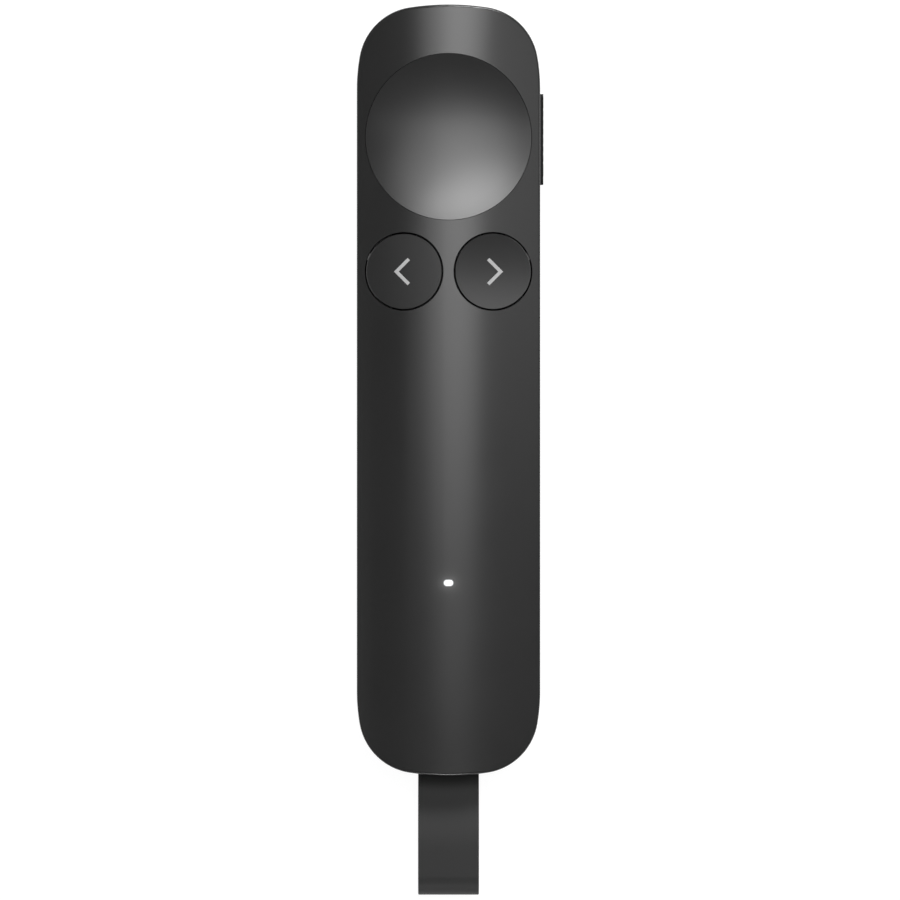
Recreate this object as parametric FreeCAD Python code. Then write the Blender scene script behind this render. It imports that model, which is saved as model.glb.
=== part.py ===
import FreeCAD, Part
import os
from math import atan, cos, pi, radians, sin, sqrt

# Wireless presentation clicker, lying on its back with the buttons up.
# Lengths are in millimetres. +X is the right side, +Y the nose that points at the screen, +Z is up.
# The origin is the centre of the flat sole.

# Body: a slab with a crowned top. In plan each end is five arcs: side, corner, tip, corner, side.
body_length = 130.0
body_width = 31.0
body_height = 13.0
crown_drop = 2.965
end_length = 14.0
end_corner_radius = 10.0
end_side_turn = 10.0
end_tip_turn = 8.0
sole_radius = 3.2
rim_radius = 0.45
wall = 1.2

# Seam: the top cover's tongue laps inside the bottom cover's skin
lid_side = 1.335
seam_gap = 0.1
lap_height = 0.8
lap_thickness = 0.55
lap_clearance = 0.05

# Snap hooks that hold the top cover down
hook_places = 4
hook_first_from_tail = 19.0
hook_last_from_slot = 18.08
hook_length = 5.0
hook_thickness = 1.0
hook_clearance = 0.1
hook_depth = 2.9
hook_nub = 0.45
hook_nub_height = 0.9
hook_window_slack = 0.15

# Round controls. The pointer button's dish is part of a ring's inside: it bulges across the body and
# dips along it, and it leans a little, so that it is flush at the nose side. The next key is a shallow
# trough that lies across the body, and the back key bulges a little, so the two can be told apart by touch.
side_to_dish = 1.4
nose_to_dish = 8.2
dish_depth = 1.2
dish_lean = 0.6
dish_to_keys = 3.21
keys_apart = 1.8
key_tilt = 9.0
key_rise = 0.1
next_key_dip_radius = 107.0
next_key_lean = 1.6
back_key_bulge_radius = 140.0
dish_gap = 0.05
key_gap = 0.2
cap_wall = 1.1
skirt_wall = 1.1
skirt_drop = 0.25
dish_edge_bevel = 0.05
key_edge_bevel = 0.1
key_hole_bevel = 0.08
press_travel = 0.3
tab_reach = 1.0
tab_height = 1.0
tab_gap = 0.08
dish_tab_width = 8.0
key_tab_width = 4.0
dish_stem_radius = 2.0
key_stem_radius = 1.5
stem_clearance = 0.05
dish_posts = 3
dish_post_radius = 1.0
dish_post_circle = 8.0
dish_post_reach = 0.75

# Main board and what lies on it
dock_height = 5.0
board_thickness = 0.8
board_side_gap = 1.7
board_corner = 1.5
board_front_from_nose = 13.5
board_screw_inset = 1.8
board_front_screw_inset = 4.1
board_screw_from_dock = 4.0
board_screw_from_keys = 4.3
board_screw_from_front = 2.6

# Push switches under the caps
switch_size = 4.5
switch_height = 1.2
switch_corner = 0.3
switch_stem_radius = 1.1
switch_stem_rise = 0.4
switch_stem_depth = 0.2
switch_bore_clearance = 0.05
switch_bore_floor = 0.4

# Key frame: the plate under the top cover that guides the caps
frame_gap_over_board = 1.8
frame_thickness = 1.0
frame_side_gap = 1.7
frame_inset = 0.5
frame_tail_from_keys = 12.2
frame_front_from_nose = 3.5
frame_boss_radius = 1.7
frame_tail_screw_inset = 3.1
frame_tail_screw_from_keys = 10.0
frame_mid_screw_inset = 1.1
frame_mid_screw_from_keys = 9.0
frame_front_screw_inset = 4.6
frame_front_screw_from_nose = 6.0

# Small screws, all alike
screw_head_radius = 1.35
screw_head_height = 0.7
screw_shank_radius = 0.7
screw_shank_length = 2.7
screw_clearance = 0.03
screw_socket_radius = 0.55
screw_socket_depth = 0.35
boss_radius = 1.9

# Power slider in the right side: a black bezel with a sliding knob
nose_to_slot = 22.42
bezel_length = 15.34
bezel_height = 3.6
bezel_wall = 0.3
bezel_stands_out = 0.57
bezel_corner = 0.7
bezel_flange = 0.6
bezel_flange_thickness = 0.8
bezel_clearance = 0.04
knob_gap = 0.1
knob_play = 0.08
slide_travel = 1.05
knob_over_bezel = 0.03
knob_plate_thickness = 0.6
knob_plate_overlap = 0.55
knob_ribs = 7
knob_rib_width = 0.5
knob_rib_pitch = 1.5
knob_rib_depth = 0.15
slide_base_length = 7.0
slide_base_width = 3.2
slide_base_height = 1.4
slide_base_from_plate = 1.2
lever_length = 1.2
lever_height = 0.9
lever_root = 1.0
lever_tip_gap = 0.1
fork_wall = 0.8
board_notch_margin = 1.0

# Status light
tail_to_light = 32.5
light_length = 1.72
light_width = 1.17
light_clearance = 0.04
light_flush = 0.02
light_collar = 0.8
light_collar_height = 0.8
light_collar_gap = 0.06
led_length = 1.6
led_width = 0.8
led_height = 0.55
led_gap = 0.25

# Battery on its foam pad, with its two leads
battery_side_gap = 4.3
battery_height = 2.9
battery_corner = 0.9
battery_from_port = 2.5
battery_from_keys = 14.25
pad_height = 0.2
pad_inset = 1.0
lead_radius = 0.4
lead_spread = 2.0
lead_bend = 1.0
lead_run = 1.2
fence_height = 2.0
fence_thickness = 0.9
fence_gap = 0.2
fence_length = 6.0

# Vibration motor
motor_radius = 4.0
motor_height = 2.7
motor_from_battery = 5.5
motor_hub_radius = 1.2
motor_hub_height = 0.25

# Radio part and loose chips
shield_width = 14.0
shield_length = 16.0
shield_height = 1.6
shield_wall = 0.2
shield_from_light = 10.5
radio_chip_size = 6.0
radio_chip_height = 0.9
chip_height = 0.8
power_chip_size = 4.0
power_chip_from_light = 5.0
sensor_size = 3.0
sensor_from_keys = 8.0
crystal_length = 3.2
crystal_width = 2.4
crystal_column = 8.5
passive_length = 1.0
passive_width = 0.5
passive_height = 0.45
passive_pitch = 1.6
passive_count = 6
passive_column = 6.5

# Laser in the nose
laser_height = 4.7
laser_radius = 2.4
laser_length = 10.0
laser_rear_radius = 2.1
laser_rear_length = 2.5
laser_pin_radius = 0.22
laser_pin_length = 3.2
laser_pin_spread = 1.2
window_radius = 1.6
window_clearance = 0.05
window_flange = 0.5
window_flange_thickness = 0.45
window_flush = 0.04
window_seat_clearance = 0.05
window_seat_depth = 0.1
cradle_width = 7.4
cradle_thickness = 1.2
cradle_clearance = 0.05
cradle_from_ends = 2.2

# Receiver that parks in the tail
plug_width = 12.0
plug_height = 4.5
plug_wall = 0.3
plug_corner = 0.6
plug_length = 11.3
plug_embed = 2.9
plug_window = 2.2
plug_window_length = 1.9
plug_window_spread = 5.0
plug_window_from_end = 5.2
tongue_share = 0.5
tongue_short = 0.9
contact_count = 4
contact_width = 1.0
contact_height = 0.12
contact_pitch = 2.3
contact_length = 7.5
grip_width = 12.6
grip_height = 5.0
grip_length = 7.4
grip_corner = 1.0
grip_recess = 0.55
dock_clearance = 0.1
dock_wall = 0.6
dock_end_wall = 0.8
dock_corner = 1.2
dock_end_gap = 0.3
dock_fit = 0.03

# Charging port at the inner end of the dock
port_width = 8.9
port_height = 3.2
port_length = 7.3
port_wall = 0.3
port_in_dock = 0.4
port_clearance = 0.08
port_back = 1.2
port_tongue_width = 6.6
port_tongue_height = 0.7
port_tongue_reach = 4.6
port_wing_width = 1.6
port_wing_length = 2.4
port_wing_height = 0.25

# Strap: one moulded band looped round a bar in the receiver
strap_width = 10.3
strap_thickness = 0.9
strap_bar_radius = 0.6
strap_bar_clearance = 0.05
strap_bar_embed = 0.4
strap_pocket_depth = 4.0
strap_pocket_clearance = 0.15
strap_reach = 20.6
strap_half_height = 2.95
strap_straight = 1.6
strap_swell = 14.0

# How far a cutting shape runs past the face that it cuts
overrun = 1.0

# Places worked out from the sizes above
V = FreeCAD.Vector
nose_y = body_length / 2
tail_y = -body_length / 2
half_width = body_width / 2
inner_half_width = half_width - wall
crown_radius = (half_width ** 2 + crown_drop ** 2) / (2 * crown_drop)
parting_height = body_height - crown_drop - lid_side
dish_radius = half_width - side_to_dish
key_radius = (dish_radius - keys_apart / 2) / 2
key_spread = dish_radius - key_radius
dish_y = nose_y - nose_to_dish - dish_radius
keys_y = dish_y - sqrt((dish_radius + key_radius + dish_to_keys) ** 2 - key_spread ** 2)
slot_y = nose_y - nose_to_slot
light_y = tail_y + tail_to_light
board_bottom = dock_height - board_thickness / 2
board_top = dock_height + board_thickness / 2
board_front = nose_y - board_front_from_nose
board_half_width = inner_half_width - board_side_gap
switch_top = board_top + switch_height
stem_bottom = switch_top + switch_stem_rise
frame_bottom = board_top + frame_gap_over_board
frame_top = frame_bottom + frame_thickness
frame_half_width = inner_half_width - frame_side_gap
grip_end = tail_y + grip_recess
grip_front = grip_end + grip_length
plug_end = grip_front + plug_length
dock_end = plug_end + dock_end_gap
port_mouth = dock_end + dock_end_wall - port_in_dock
port_rear = port_mouth + port_length
board_tail = dock_end + dock_end_wall
battery_tail = port_rear + battery_from_port
battery_front = keys_y - battery_from_keys
battery_half_width = inner_half_width - battery_side_gap
battery_bottom = wall + pad_height
battery_top = battery_bottom + battery_height
motor_y = battery_front + motor_from_battery + motor_radius


def crown_z(x, inset=0.0):
    """Height of the crown, drawn in by inset, at a distance x from the middle."""
    return body_height - crown_radius + sqrt((crown_radius - inset) ** 2 - x ** 2)


def block(x0, x1, y0, y1, z0, z1):
    return Part.makeBox(x1 - x0, y1 - y0, z1 - z0, V(x0, y0, z0))


def post(radius, x, y, z0, z1):
    return Part.makeCylinder(radius, z1 - z0, V(x, y, z0))


def along_y(radius, x, z, y0, y1):
    return Part.makeCylinder(radius, y1 - y0, V(x, y0, z), V(0, 1, 0))


def along_x(radius, y, z, x0, x1):
    return Part.makeCylinder(radius, x1 - x0, V(x0, y, z), V(1, 0, 0))


def edges_along(shape, axis):
    """The straight edges that run along one axis."""
    found = []
    for edge in shape.Edges:
        ends = [v.Point for v in edge.Vertexes]
        if len(ends) == 2 and abs((ends[1] - ends[0]).normalize().dot(axis)) > 0.999:
            found.append(edge)
    return found


def rounded_block(x0, x1, y0, y1, z0, z1, corner, axis=V(0, 0, 1)):
    """A block whose four edges along one axis are rounded."""
    plain = block(x0, x1, y0, y1, z0, z1)
    return plain.makeFillet(corner, edges_along(plain, axis))


def slot_block(length, width, x, y, z0, z1):
    """A stadium, long in X, stood on end."""
    half = (length - width) / 2
    ends = [post(width / 2, x + side * half, y, z0, z1) for side in (-1, 1)]
    middle = block(x - half, x + half, y - width / 2, y + width / 2, z0, z1)
    return middle.fuse(ends).removeSplitter()


def pill_along_y(width, height, z, y0, y1):
    """A flat rounded bar, centred on x = 0 and running along Y, such as a port's shell."""
    half = (width - height) / 2
    ends = [along_y(height / 2, side * half, z, y0, y1) for side in (-1, 1)]
    middle = block(-half, half, y0, y1, z - height / 2, z + height / 2)
    return middle.fuse(ends).removeSplitter()


def end_radii():
    """Radii of the side and tip arcs that make one end as long and as wide as it has to be."""
    first = radians(end_side_turn)
    last = radians(90 - end_tip_turn)
    a, b = cos(first) - 1, -cos(last)
    c, d = sin(first), 1 - sin(last)
    e = end_corner_radius * (cos(first) - cos(last)) - half_width
    f = end_corner_radius * (sin(first) - sin(last)) + end_length
    scale = a * d - b * c
    return (e * d - b * f) / scale, (a * f - e * c) / scale


def outline(inset):
    """The body's plan, drawn in by inset: two straight sides, and two ends of five arcs each."""
    side_radius, tip_radius = end_radii()
    first, last = end_side_turn, 90 - end_tip_turn
    arcs = ((side_radius, 0, first), (end_corner_radius, first, last), (tip_radius, last, 180 - last),
            (end_corner_radius, 180 - last, 180 - first), (side_radius, 180 - first, 180))
    straight = 2 * (nose_y - end_length)
    at = V(half_width - inset, straight / 2, 0)
    edges = []
    for half_turn in (0, 180):
        for radius, start, end in arcs:
            turns = [radians(half_turn + angle) for angle in (start, (start + end) / 2, end)]
            spokes = [V(cos(turn), sin(turn), 0) * (radius - inset) for turn in turns]
            centre = at - spokes[0]
            edges.append(Part.Arc(at, centre + spokes[1], centre + spokes[2]).toShape())
            at = centre + spokes[2]
        opposite = at + V(0, straight * (-1 if half_turn == 0 else 1), 0)
        edges.append(Part.LineSegment(at, opposite).toShape())
        at = opposite
    return Part.Wire(edges)


def prism(inset, z0, z1):
    face = Part.Face(outline(inset))
    face.translate(V(0, 0, z0))
    return face.extrude(V(0, 0, z1 - z0))


def under_crown(inset):
    """Everything below the crown, drawn in by inset."""
    reach = half_width + overrun
    low = -overrun
    top = body_height - inset
    sides = crown_z(reach, inset)
    arc = Part.Arc(V(-reach, 0, sides), V(0, 0, top), V(reach, 0, sides)).toShape()
    corners = [V(reach, 0, sides), V(reach, 0, low), V(-reach, 0, low), V(-reach, 0, sides)]
    lines = [Part.LineSegment(a, b).toShape() for a, b in zip(corners, corners[1:])]
    face = Part.Face(Part.Wire([arc] + lines))
    face.translate(V(0, tail_y - overrun, 0))
    return face.extrude(V(0, body_length + 2 * overrun, 0))


def envelope(inset):
    """The whole body's outside, drawn in by inset all over."""
    slab = prism(inset, inset, body_height)
    foot = [e for e in slab.Edges if e.BoundBox.ZMax < inset + sole_radius / 2]
    slab = slab.makeFillet(sole_radius - inset, foot)
    return slab.common(under_crown(inset))


def outer_body():
    """The envelope with its top edge eased."""
    body = envelope(0.0)
    crown = max(body.Faces, key=lambda f: f.CenterOfMass.z)
    return body.makeFillet(rim_radius, crown.Edges)


def rise_in(radius, bend):
    """How far an arc of radius bend rises over this distance from its lowest point."""
    return bend - sqrt(bend ** 2 - radius ** 2)


def dish_bends():
    """Radii of the dish's bulge across the body and of its dip along the body."""
    sides_down = body_height - crown_z(dish_radius) - dish_depth
    across = (dish_radius ** 2 + sides_down ** 2) / (2 * sides_down)
    along = (dish_radius ** 2 + dish_depth ** 2) / (2 * dish_depth)
    return across, along


def over_dish(sink):
    """Everything above the pointer button's face, with that face lowered by sink."""
    across, along = dish_bends()
    hub = V(0, dish_y, body_height - dish_depth + along)
    ring = Part.makeTorus(across + along, across - sink, hub, V(1, 0, 0))
    reach = dish_radius + overrun
    low = crown_z(reach) - sink - overrun
    tool = block(-reach, reach, dish_y - reach, dish_y + reach, low, body_height + 2 * overrun).cut(ring)
    tool.rotate(V(0, dish_y + dish_radius, body_height), V(1, 0, 0), dish_lean)
    return tool


def key_middle():
    """Height of a key's middle: that of the crown's chord across its hole, and a little over."""
    return (crown_z(key_spread + key_radius) + crown_z(key_spread - key_radius)) / 2 + key_rise


def over_key(side, sink):
    """Everything above a key's face, with that face lowered by sink; side is -1 for back and 1 for next."""
    reach = key_radius + overrun
    past = reach + overrun
    depth = sink + overrun + rise_in(reach, back_key_bulge_radius)
    slab = block(-reach, reach, -reach, reach, -depth, body_height / 2)
    if side > 0:
        tool = slab.common(along_x(next_key_dip_radius + sink, 0, next_key_dip_radius, -past, past))
        tool.rotate(V(0, 0, 0), V(1, 0, 0), next_key_lean)
        middle = key_middle()
    else:
        bulge = along_y(back_key_bulge_radius - sink, 0, -back_key_bulge_radius, -past, past)
        bulge.rotate(V(0, 0, -back_key_bulge_radius), V(0, 1, 0), 180)
        tool = slab.cut(bulge)
        middle = key_middle() + rise_in(key_radius, back_key_bulge_radius)
    tool.rotate(V(0, 0, 0), V(0, 1, 0), side * key_tilt)
    tool.translate(V(side * key_spread, keys_y, middle))
    return tool


def top_rim(shape, x, y, radius):
    """The edges of a shape that go round this circle, near the crown."""
    low = crown_z(abs(x) + radius) - cap_wall / 2
    found = []
    for edge in shape.Edges:
        points = [edge.valueAt(edge.FirstParameter + s * (edge.LastParameter - edge.FirstParameter))
                  for s in (0, 0.25, 0.5, 0.75)]
        at_rim = all(abs(V(p.x - x, p.y - y, 0).Length - radius) < radius / 1000 for p in points)
        if at_rim and all(p.z > low for p in points):
            found.append(edge)
    return found


def round_cap(x, y, hole_radius, gap, bevel, tab_width, stem_radius, over_face):
    """A round cap with a skirt, two retaining tabs and the stem that works its switch."""
    radius = hole_radius - gap
    skirt_bottom = crown_z(abs(x) + hole_radius) - cap_wall - skirt_drop
    roof = body_height + overrun
    cap = post(radius, x, y, skirt_bottom, roof).cut(over_face(0))
    cap = cap.makeChamfer(bevel, top_rim(cap, x, y, radius))
    hollow = post(radius - skirt_wall, x, y, skirt_bottom - overrun, roof)
    cap = cap.cut(hollow.cut(over_face(cap_wall)))
    edge = abs(x) + tab_width / 2
    tab_top = crown_z(edge, wall) - tab_gap
    tabs = []
    for side in (-1, 1):
        near = y + side * (radius - skirt_wall / 2)
        far = y + side * (radius + tab_reach)
        tabs.append(block(x - tab_width / 2, x + tab_width / 2, min(near, far), max(near, far),
                          tab_top - tab_height, tab_top))
    stem = post(stem_radius, x, y, stem_bottom, roof)
    stem = stem.cut(over_face(cap_wall / 2))
    return cap.fuse(tabs + [stem]).removeSplitter()


def dish_post_places():
    turns = [2 * pi * (i + 0.25 * dish_posts) / dish_posts for i in range(dish_posts)]
    return [(dish_post_circle * cos(t), dish_y + dish_post_circle * sin(t)) for t in turns]


def dish_cap():
    """The pointer button: a dished cap with guide posts, so that it stays level when pressed off centre."""
    cap = round_cap(0.0, dish_y, dish_radius, dish_gap, dish_edge_bevel, dish_tab_width, dish_stem_radius,
                    over_dish)
    posts = []
    for x, y in dish_post_places():
        pin = post(dish_post_radius, x, y, frame_top - dish_post_reach, body_height)
        posts.append(pin.cut(over_dish(cap_wall / 2)))
    return cap.fuse(posts).removeSplitter()


def key_cap(side):
    """The back key or the next key."""
    return round_cap(side * key_spread, keys_y, key_radius, key_gap, key_edge_bevel, key_tab_width,
                     key_stem_radius, lambda sink: over_key(side, sink))


def frame_screw_places():
    rows = ((frame_tail_screw_inset, keys_y - frame_tail_screw_from_keys),
            (frame_mid_screw_inset, keys_y + frame_mid_screw_from_keys),
            (frame_front_screw_inset, nose_y - frame_front_screw_from_nose))
    return [(side * (frame_half_width - inset), y) for inset, y in rows for side in (-1, 1)]


def board_screw_places():
    rows = ((board_screw_inset, board_tail + board_screw_from_dock),
            (board_screw_inset, keys_y + board_screw_from_keys),
            (board_front_screw_inset, board_front - board_screw_from_front))
    return [(side * (board_half_width - inset), y) for inset, y in rows for side in (-1, 1)]


def screw(x, y, seat, way):
    """One small screw whose head sits against z = seat; way is 1 where its shank points up."""
    head_far = seat - way * screw_head_height
    tip = seat + way * screw_shank_length
    head = post(screw_head_radius, x, y, min(seat, head_far), max(seat, head_far))
    shank = post(screw_shank_radius, x, y, min(seat, tip), max(seat, tip))
    socket_floor = head_far + way * screw_socket_depth
    socket = post(screw_socket_radius, x, y, min(head_far, socket_floor), max(head_far, socket_floor))
    return head.fuse(shank).cut(socket).removeSplitter()


def hook_rows():
    first = tail_y + hook_first_from_tail
    last = slot_y - hook_last_from_slot
    return [first + (last - first) * i / (hook_places - 1) for i in range(hook_places)]


def top_cover(outside, inside):
    """The crowned lid with its control holes, lap tongue, screw bosses and snap hooks."""
    seat = parting_height - lap_height
    lid = outside.cut(inside).common(prism(-overrun, parting_height + seam_gap, body_height + overrun))
    tongue = prism(wall - lap_thickness, seat, parting_height + wall)
    tongue = tongue.cut(prism(wall, seat, parting_height + wall))
    mouth = dock_outer_half_width() + hook_clearance
    tongue = tongue.cut(block(-mouth, mouth, tail_y, tail_y + end_length / 2, seat,
                              parting_height + seam_gap))
    adds = [tongue]
    half_crown = under_crown(wall / 2)
    for x, y in frame_screw_places():
        adds.append(post(frame_boss_radius, x, y, frame_top, body_height).common(half_crown))
    outer = inner_half_width - hook_clearance
    foot = parting_height - hook_depth
    for y in hook_rows():
        y0, y1 = y - hook_length / 2, y + hook_length / 2
        for side in (-1, 1):
            faces = sorted((side * (outer - hook_thickness), side * outer))
            adds.append(block(faces[0], faces[1], y0, y1, foot, body_height).common(half_crown))
            nub = sorted((side * (outer - hook_thickness / 2), side * (outer + hook_nub)))
            adds.append(block(nub[0], nub[1], y0, y1, foot, foot + hook_nub_height))
    roof = body_height + overrun
    key_holes = [post(key_radius, side * key_spread, keys_y, parting_height, roof) for side in (-1, 1)]
    lid = lid.fuse(adds).cut(key_holes)
    rims = [edge for side in (-1, 1) for edge in top_rim(lid, side * key_spread, keys_y, key_radius)]
    lid = lid.makeChamfer(key_hole_bevel, rims)
    holes = [post(dish_radius, 0, dish_y, parting_height + seam_gap, roof)]
    holes.append(slot_block(light_length + 2 * light_clearance, light_width + 2 * light_clearance,
                            0.0, light_y, parting_height, roof))
    for x, y in frame_screw_places():
        depth = screw_shank_length - frame_thickness
        holes.append(post(screw_shank_radius + screw_clearance, x, y, frame_top - overrun,
                          frame_top + depth + screw_clearance))
    return lid.cut(holes).removeSplitter()


def dock_outer_half_width():
    return grip_width / 2 + dock_clearance + dock_wall


def dock_outer_half_height():
    return grip_height / 2 + dock_clearance + dock_wall


def dock_block(grow):
    """The dock sleeve's outside, grown all round."""
    x = dock_outer_half_width() + grow
    z = dock_outer_half_height() + grow
    return rounded_block(-x, x, tail_y - overrun, dock_end + dock_end_wall, dock_height - z, dock_height + z,
                         dock_corner + grow, V(0, 1, 0))


def bottom_cover(outside, inside):
    """The tub: sole, walls, lap groove, hook windows, bosses, battery fences and cradles."""
    tub = outside.common(prism(-overrun, -overrun, parting_height)).cut(inside)
    seat = parting_height - lap_height
    groove = prism(wall - lap_thickness - lap_clearance, seat, parting_height + overrun)
    cuts = [groove]
    low = parting_height - hook_depth - hook_window_slack
    high = parting_height - hook_depth + hook_nub_height + hook_window_slack
    reach = inner_half_width - hook_clearance + hook_nub + hook_window_slack
    for y in hook_rows():
        half = hook_length / 2 + hook_window_slack
        cuts.append(block(-reach, reach, y - half, y + half, low, high))
    cuts.append(dock_block(dock_fit))
    slot_half = bezel_length / 2 + bezel_clearance
    slot_half_height = bezel_height / 2 + bezel_clearance
    cuts.append(rounded_block(inner_half_width - overrun, half_width + overrun,
                              slot_y - slot_half, slot_y + slot_half,
                              dock_height - slot_half_height, dock_height + slot_half_height,
                              bezel_corner, V(1, 0, 0)))
    cuts.append(along_y(window_radius + window_clearance, 0, laser_height,
                        nose_y - wall - overrun, nose_y + overrun))
    cuts.append(along_y(window_radius + window_flange + window_seat_clearance, 0, laser_height,
                        laser_front() - overrun, laser_front() + window_flange_thickness))
    tub = tub.cut(cuts)
    adds = [post(boss_radius, x, y, wall / 2, board_bottom) for x, y in board_screw_places()]
    adds += battery_fences()
    adds += laser_cradle()
    adds += dock_ribs()
    tub = tub.fuse(adds)
    holes = []
    for x, y in board_screw_places():
        depth = screw_shank_length - board_thickness
        holes.append(post(screw_shank_radius + screw_clearance, x, y, board_bottom - depth - screw_clearance,
                          board_bottom + overrun))
    return tub.cut(holes).removeSplitter()


def battery_fences():
    """Low ribs round the battery's corners."""
    out_x = battery_half_width + fence_gap
    ribs = []
    top = wall + fence_height
    for y0 in (battery_tail + fence_length / 2, battery_front - fence_length * 1.5):
        for side in (-1, 1):
            faces = sorted((side * out_x, side * (out_x + fence_thickness)))
            ribs.append(block(faces[0], faces[1], y0, y0 + fence_length, wall / 2, top))
    for edge, way in ((battery_tail - fence_gap, -1), (battery_front + fence_gap, 1)):
        faces = sorted((edge, edge + way * fence_thickness))
        for side in (-1, 1):
            span = sorted((side * (battery_half_width - fence_length / 2), side * battery_half_width))
            ribs.append(block(span[0], span[1], faces[0], faces[1], wall / 2, top))
    return ribs


def laser_cradle():
    """Two ribs cut to the barrel's curve."""
    barrel = along_y(laser_radius + cradle_clearance, 0, laser_height, laser_rear() - overrun, nose_y)
    ribs = []
    front = laser_front() - cradle_from_ends
    rear = laser_rear() + laser_rear_length + cradle_from_ends / 2
    for y in (rear, front):
        rib = block(-cradle_width / 2, cradle_width / 2, y - cradle_thickness / 2, y + cradle_thickness / 2,
                    wall / 2, laser_height)
        ribs.append(rib.cut(barrel))
    return ribs


def dock_ribs():
    """Ribs that carry the dock sleeve off the floor."""
    half = dock_outer_half_width() - dock_corner
    under = dock_height - dock_outer_half_height()
    ribs = []
    for y in (grip_front, dock_end - dock_end_wall):
        ribs.append(block(-half, half, y - fence_thickness / 2, y + fence_thickness / 2, wall / 2, under))
    return ribs


def key_frame():
    """The plate that guides the stems and posts, screwed up under the top cover."""
    plate = prism(wall + frame_inset, frame_bottom, frame_top)
    plate = plate.common(block(-frame_half_width, frame_half_width, keys_y - frame_tail_from_keys,
                               nose_y - frame_front_from_nose, frame_bottom, frame_top))
    low, high = frame_bottom - overrun, frame_top + overrun
    holes = [post(dish_stem_radius + stem_clearance, 0, dish_y, low, high)]
    for x, y in dish_post_places():
        holes.append(post(dish_post_radius + stem_clearance, x, y, low, high))
    for side in (-1, 1):
        holes.append(post(key_stem_radius + stem_clearance, side * key_spread, keys_y, low, high))
    for x, y in frame_screw_places():
        holes.append(post(screw_shank_radius + screw_clearance, x, y, low, high))
    return plate.cut(holes)


def main_board():
    """The circuit board, notched for the charging port and for the slider's knob."""
    board = rounded_block(-board_half_width, board_half_width, board_tail, board_front,
                          board_bottom, board_top, board_corner)
    port = port_width / 2 + port_clearance
    cuts = [block(-port, port, board_tail - overrun, port_rear + port_clearance,
                  board_bottom - overrun, board_top + overrun)]
    notch_x = knob_plate_inner() - board_notch_margin
    reach = bezel_length / 2 + bezel_flange + board_notch_margin
    cuts.append(block(notch_x, board_half_width + overrun, slot_y - reach, slot_y + reach,
                      board_bottom - overrun, board_top + overrun))
    for x, y in board_screw_places():
        cuts.append(post(screw_shank_radius + screw_clearance, x, y,
                         board_bottom - overrun, board_top + overrun))
    return board.cut(cuts)


def switch_base(x, y):
    """The body of a push switch, with the bore that its stem sinks into."""
    half = switch_size / 2
    base = rounded_block(x - half, x + half, y - half, y + half, board_top, switch_top, switch_corner)
    bore = post(switch_stem_radius + switch_bore_clearance, x, y,
                board_top + switch_bore_floor, switch_top + overrun)
    return base.cut(bore)


def switch_stem(x, y):
    low = board_top + switch_bore_floor + press_travel + switch_stem_depth
    return post(switch_stem_radius, x, y, low, stem_bottom)


def bezel_flange_inner():
    return inner_half_width - bezel_flange_thickness


def knob_plate_inner():
    return bezel_flange_inner() - knob_play - knob_plate_thickness


def window_half_length():
    return bezel_length / 2 - bezel_wall


def window_half_height():
    return bezel_height / 2 - bezel_wall


def side_bezel():
    """The black frame in the side wall, with a flange behind the wall and a window for the knob."""
    y = bezel_length / 2
    z = bezel_height / 2
    face = half_width + bezel_stands_out
    frame = rounded_block(bezel_flange_inner(), face, slot_y - y, slot_y + y,
                          dock_height - z, dock_height + z, bezel_corner, V(1, 0, 0))
    flange_z = min(z + bezel_flange, dock_height - sole_radius)
    flange = rounded_block(bezel_flange_inner(), inner_half_width,
                           slot_y - y - bezel_flange, slot_y + y + bezel_flange,
                           dock_height - flange_z, dock_height + flange_z, bezel_corner, V(1, 0, 0))
    window = rounded_block(bezel_flange_inner() - overrun, face + overrun,
                           slot_y - window_half_length(), slot_y + window_half_length(),
                           dock_height - window_half_height(), dock_height + window_half_height(),
                           bezel_corner - bezel_wall, V(1, 0, 0))
    return frame.fuse(flange).cut(window).removeSplitter()


def knob_half_length():
    return window_half_length() - (slide_travel + 2 * knob_gap) / 2


def knob_rest_y():
    """The knob rests at the nose end of its window."""
    return slot_y + window_half_length() - knob_gap - knob_half_length()


def lever_z():
    return board_top + slide_base_height / 2


def power_knob():
    """The ribbed thumb pad, its retaining plate and the fork round the switch lever."""
    y = knob_rest_y()
    half = knob_half_length()
    half_z = window_half_height() - knob_gap
    inner = knob_plate_inner()
    face = half_width + bezel_stands_out + knob_over_bezel
    pad = rounded_block(inner, face, y - half, y + half, dock_height - half_z, dock_height + half_z,
                        bezel_corner - bezel_wall - knob_gap, V(1, 0, 0))
    grooves = []
    for i in range(knob_ribs):
        at = y + (i - (knob_ribs - 1) / 2) * knob_rib_pitch
        grooves.append(block(face - knob_rib_depth, face + overrun,
                             at - knob_rib_width / 2, at + knob_rib_width / 2,
                             dock_height - half_z, dock_height + half_z))
    plate_y = half + slide_travel / 2 + knob_gap + knob_plate_overlap
    plate_z = window_half_height() + bezel_wall / 2
    plate = block(inner, inner + knob_plate_thickness, y - plate_y, y + plate_y,
                  dock_height - plate_z, dock_height + plate_z)
    fork_y = lever_length / 2 + knob_gap / 2
    adds = [plate]
    for side in (-1, 1):
        span = sorted((y + side * fork_y, y + side * (fork_y + fork_wall)))
        adds.append(block(inner - fork_wall, inner + knob_plate_thickness / 2, span[0], span[1],
                          lever_z() - lever_height / 2, lever_z() + lever_height / 2))
    return pad.cut(grooves).fuse(adds).removeSplitter()


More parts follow.
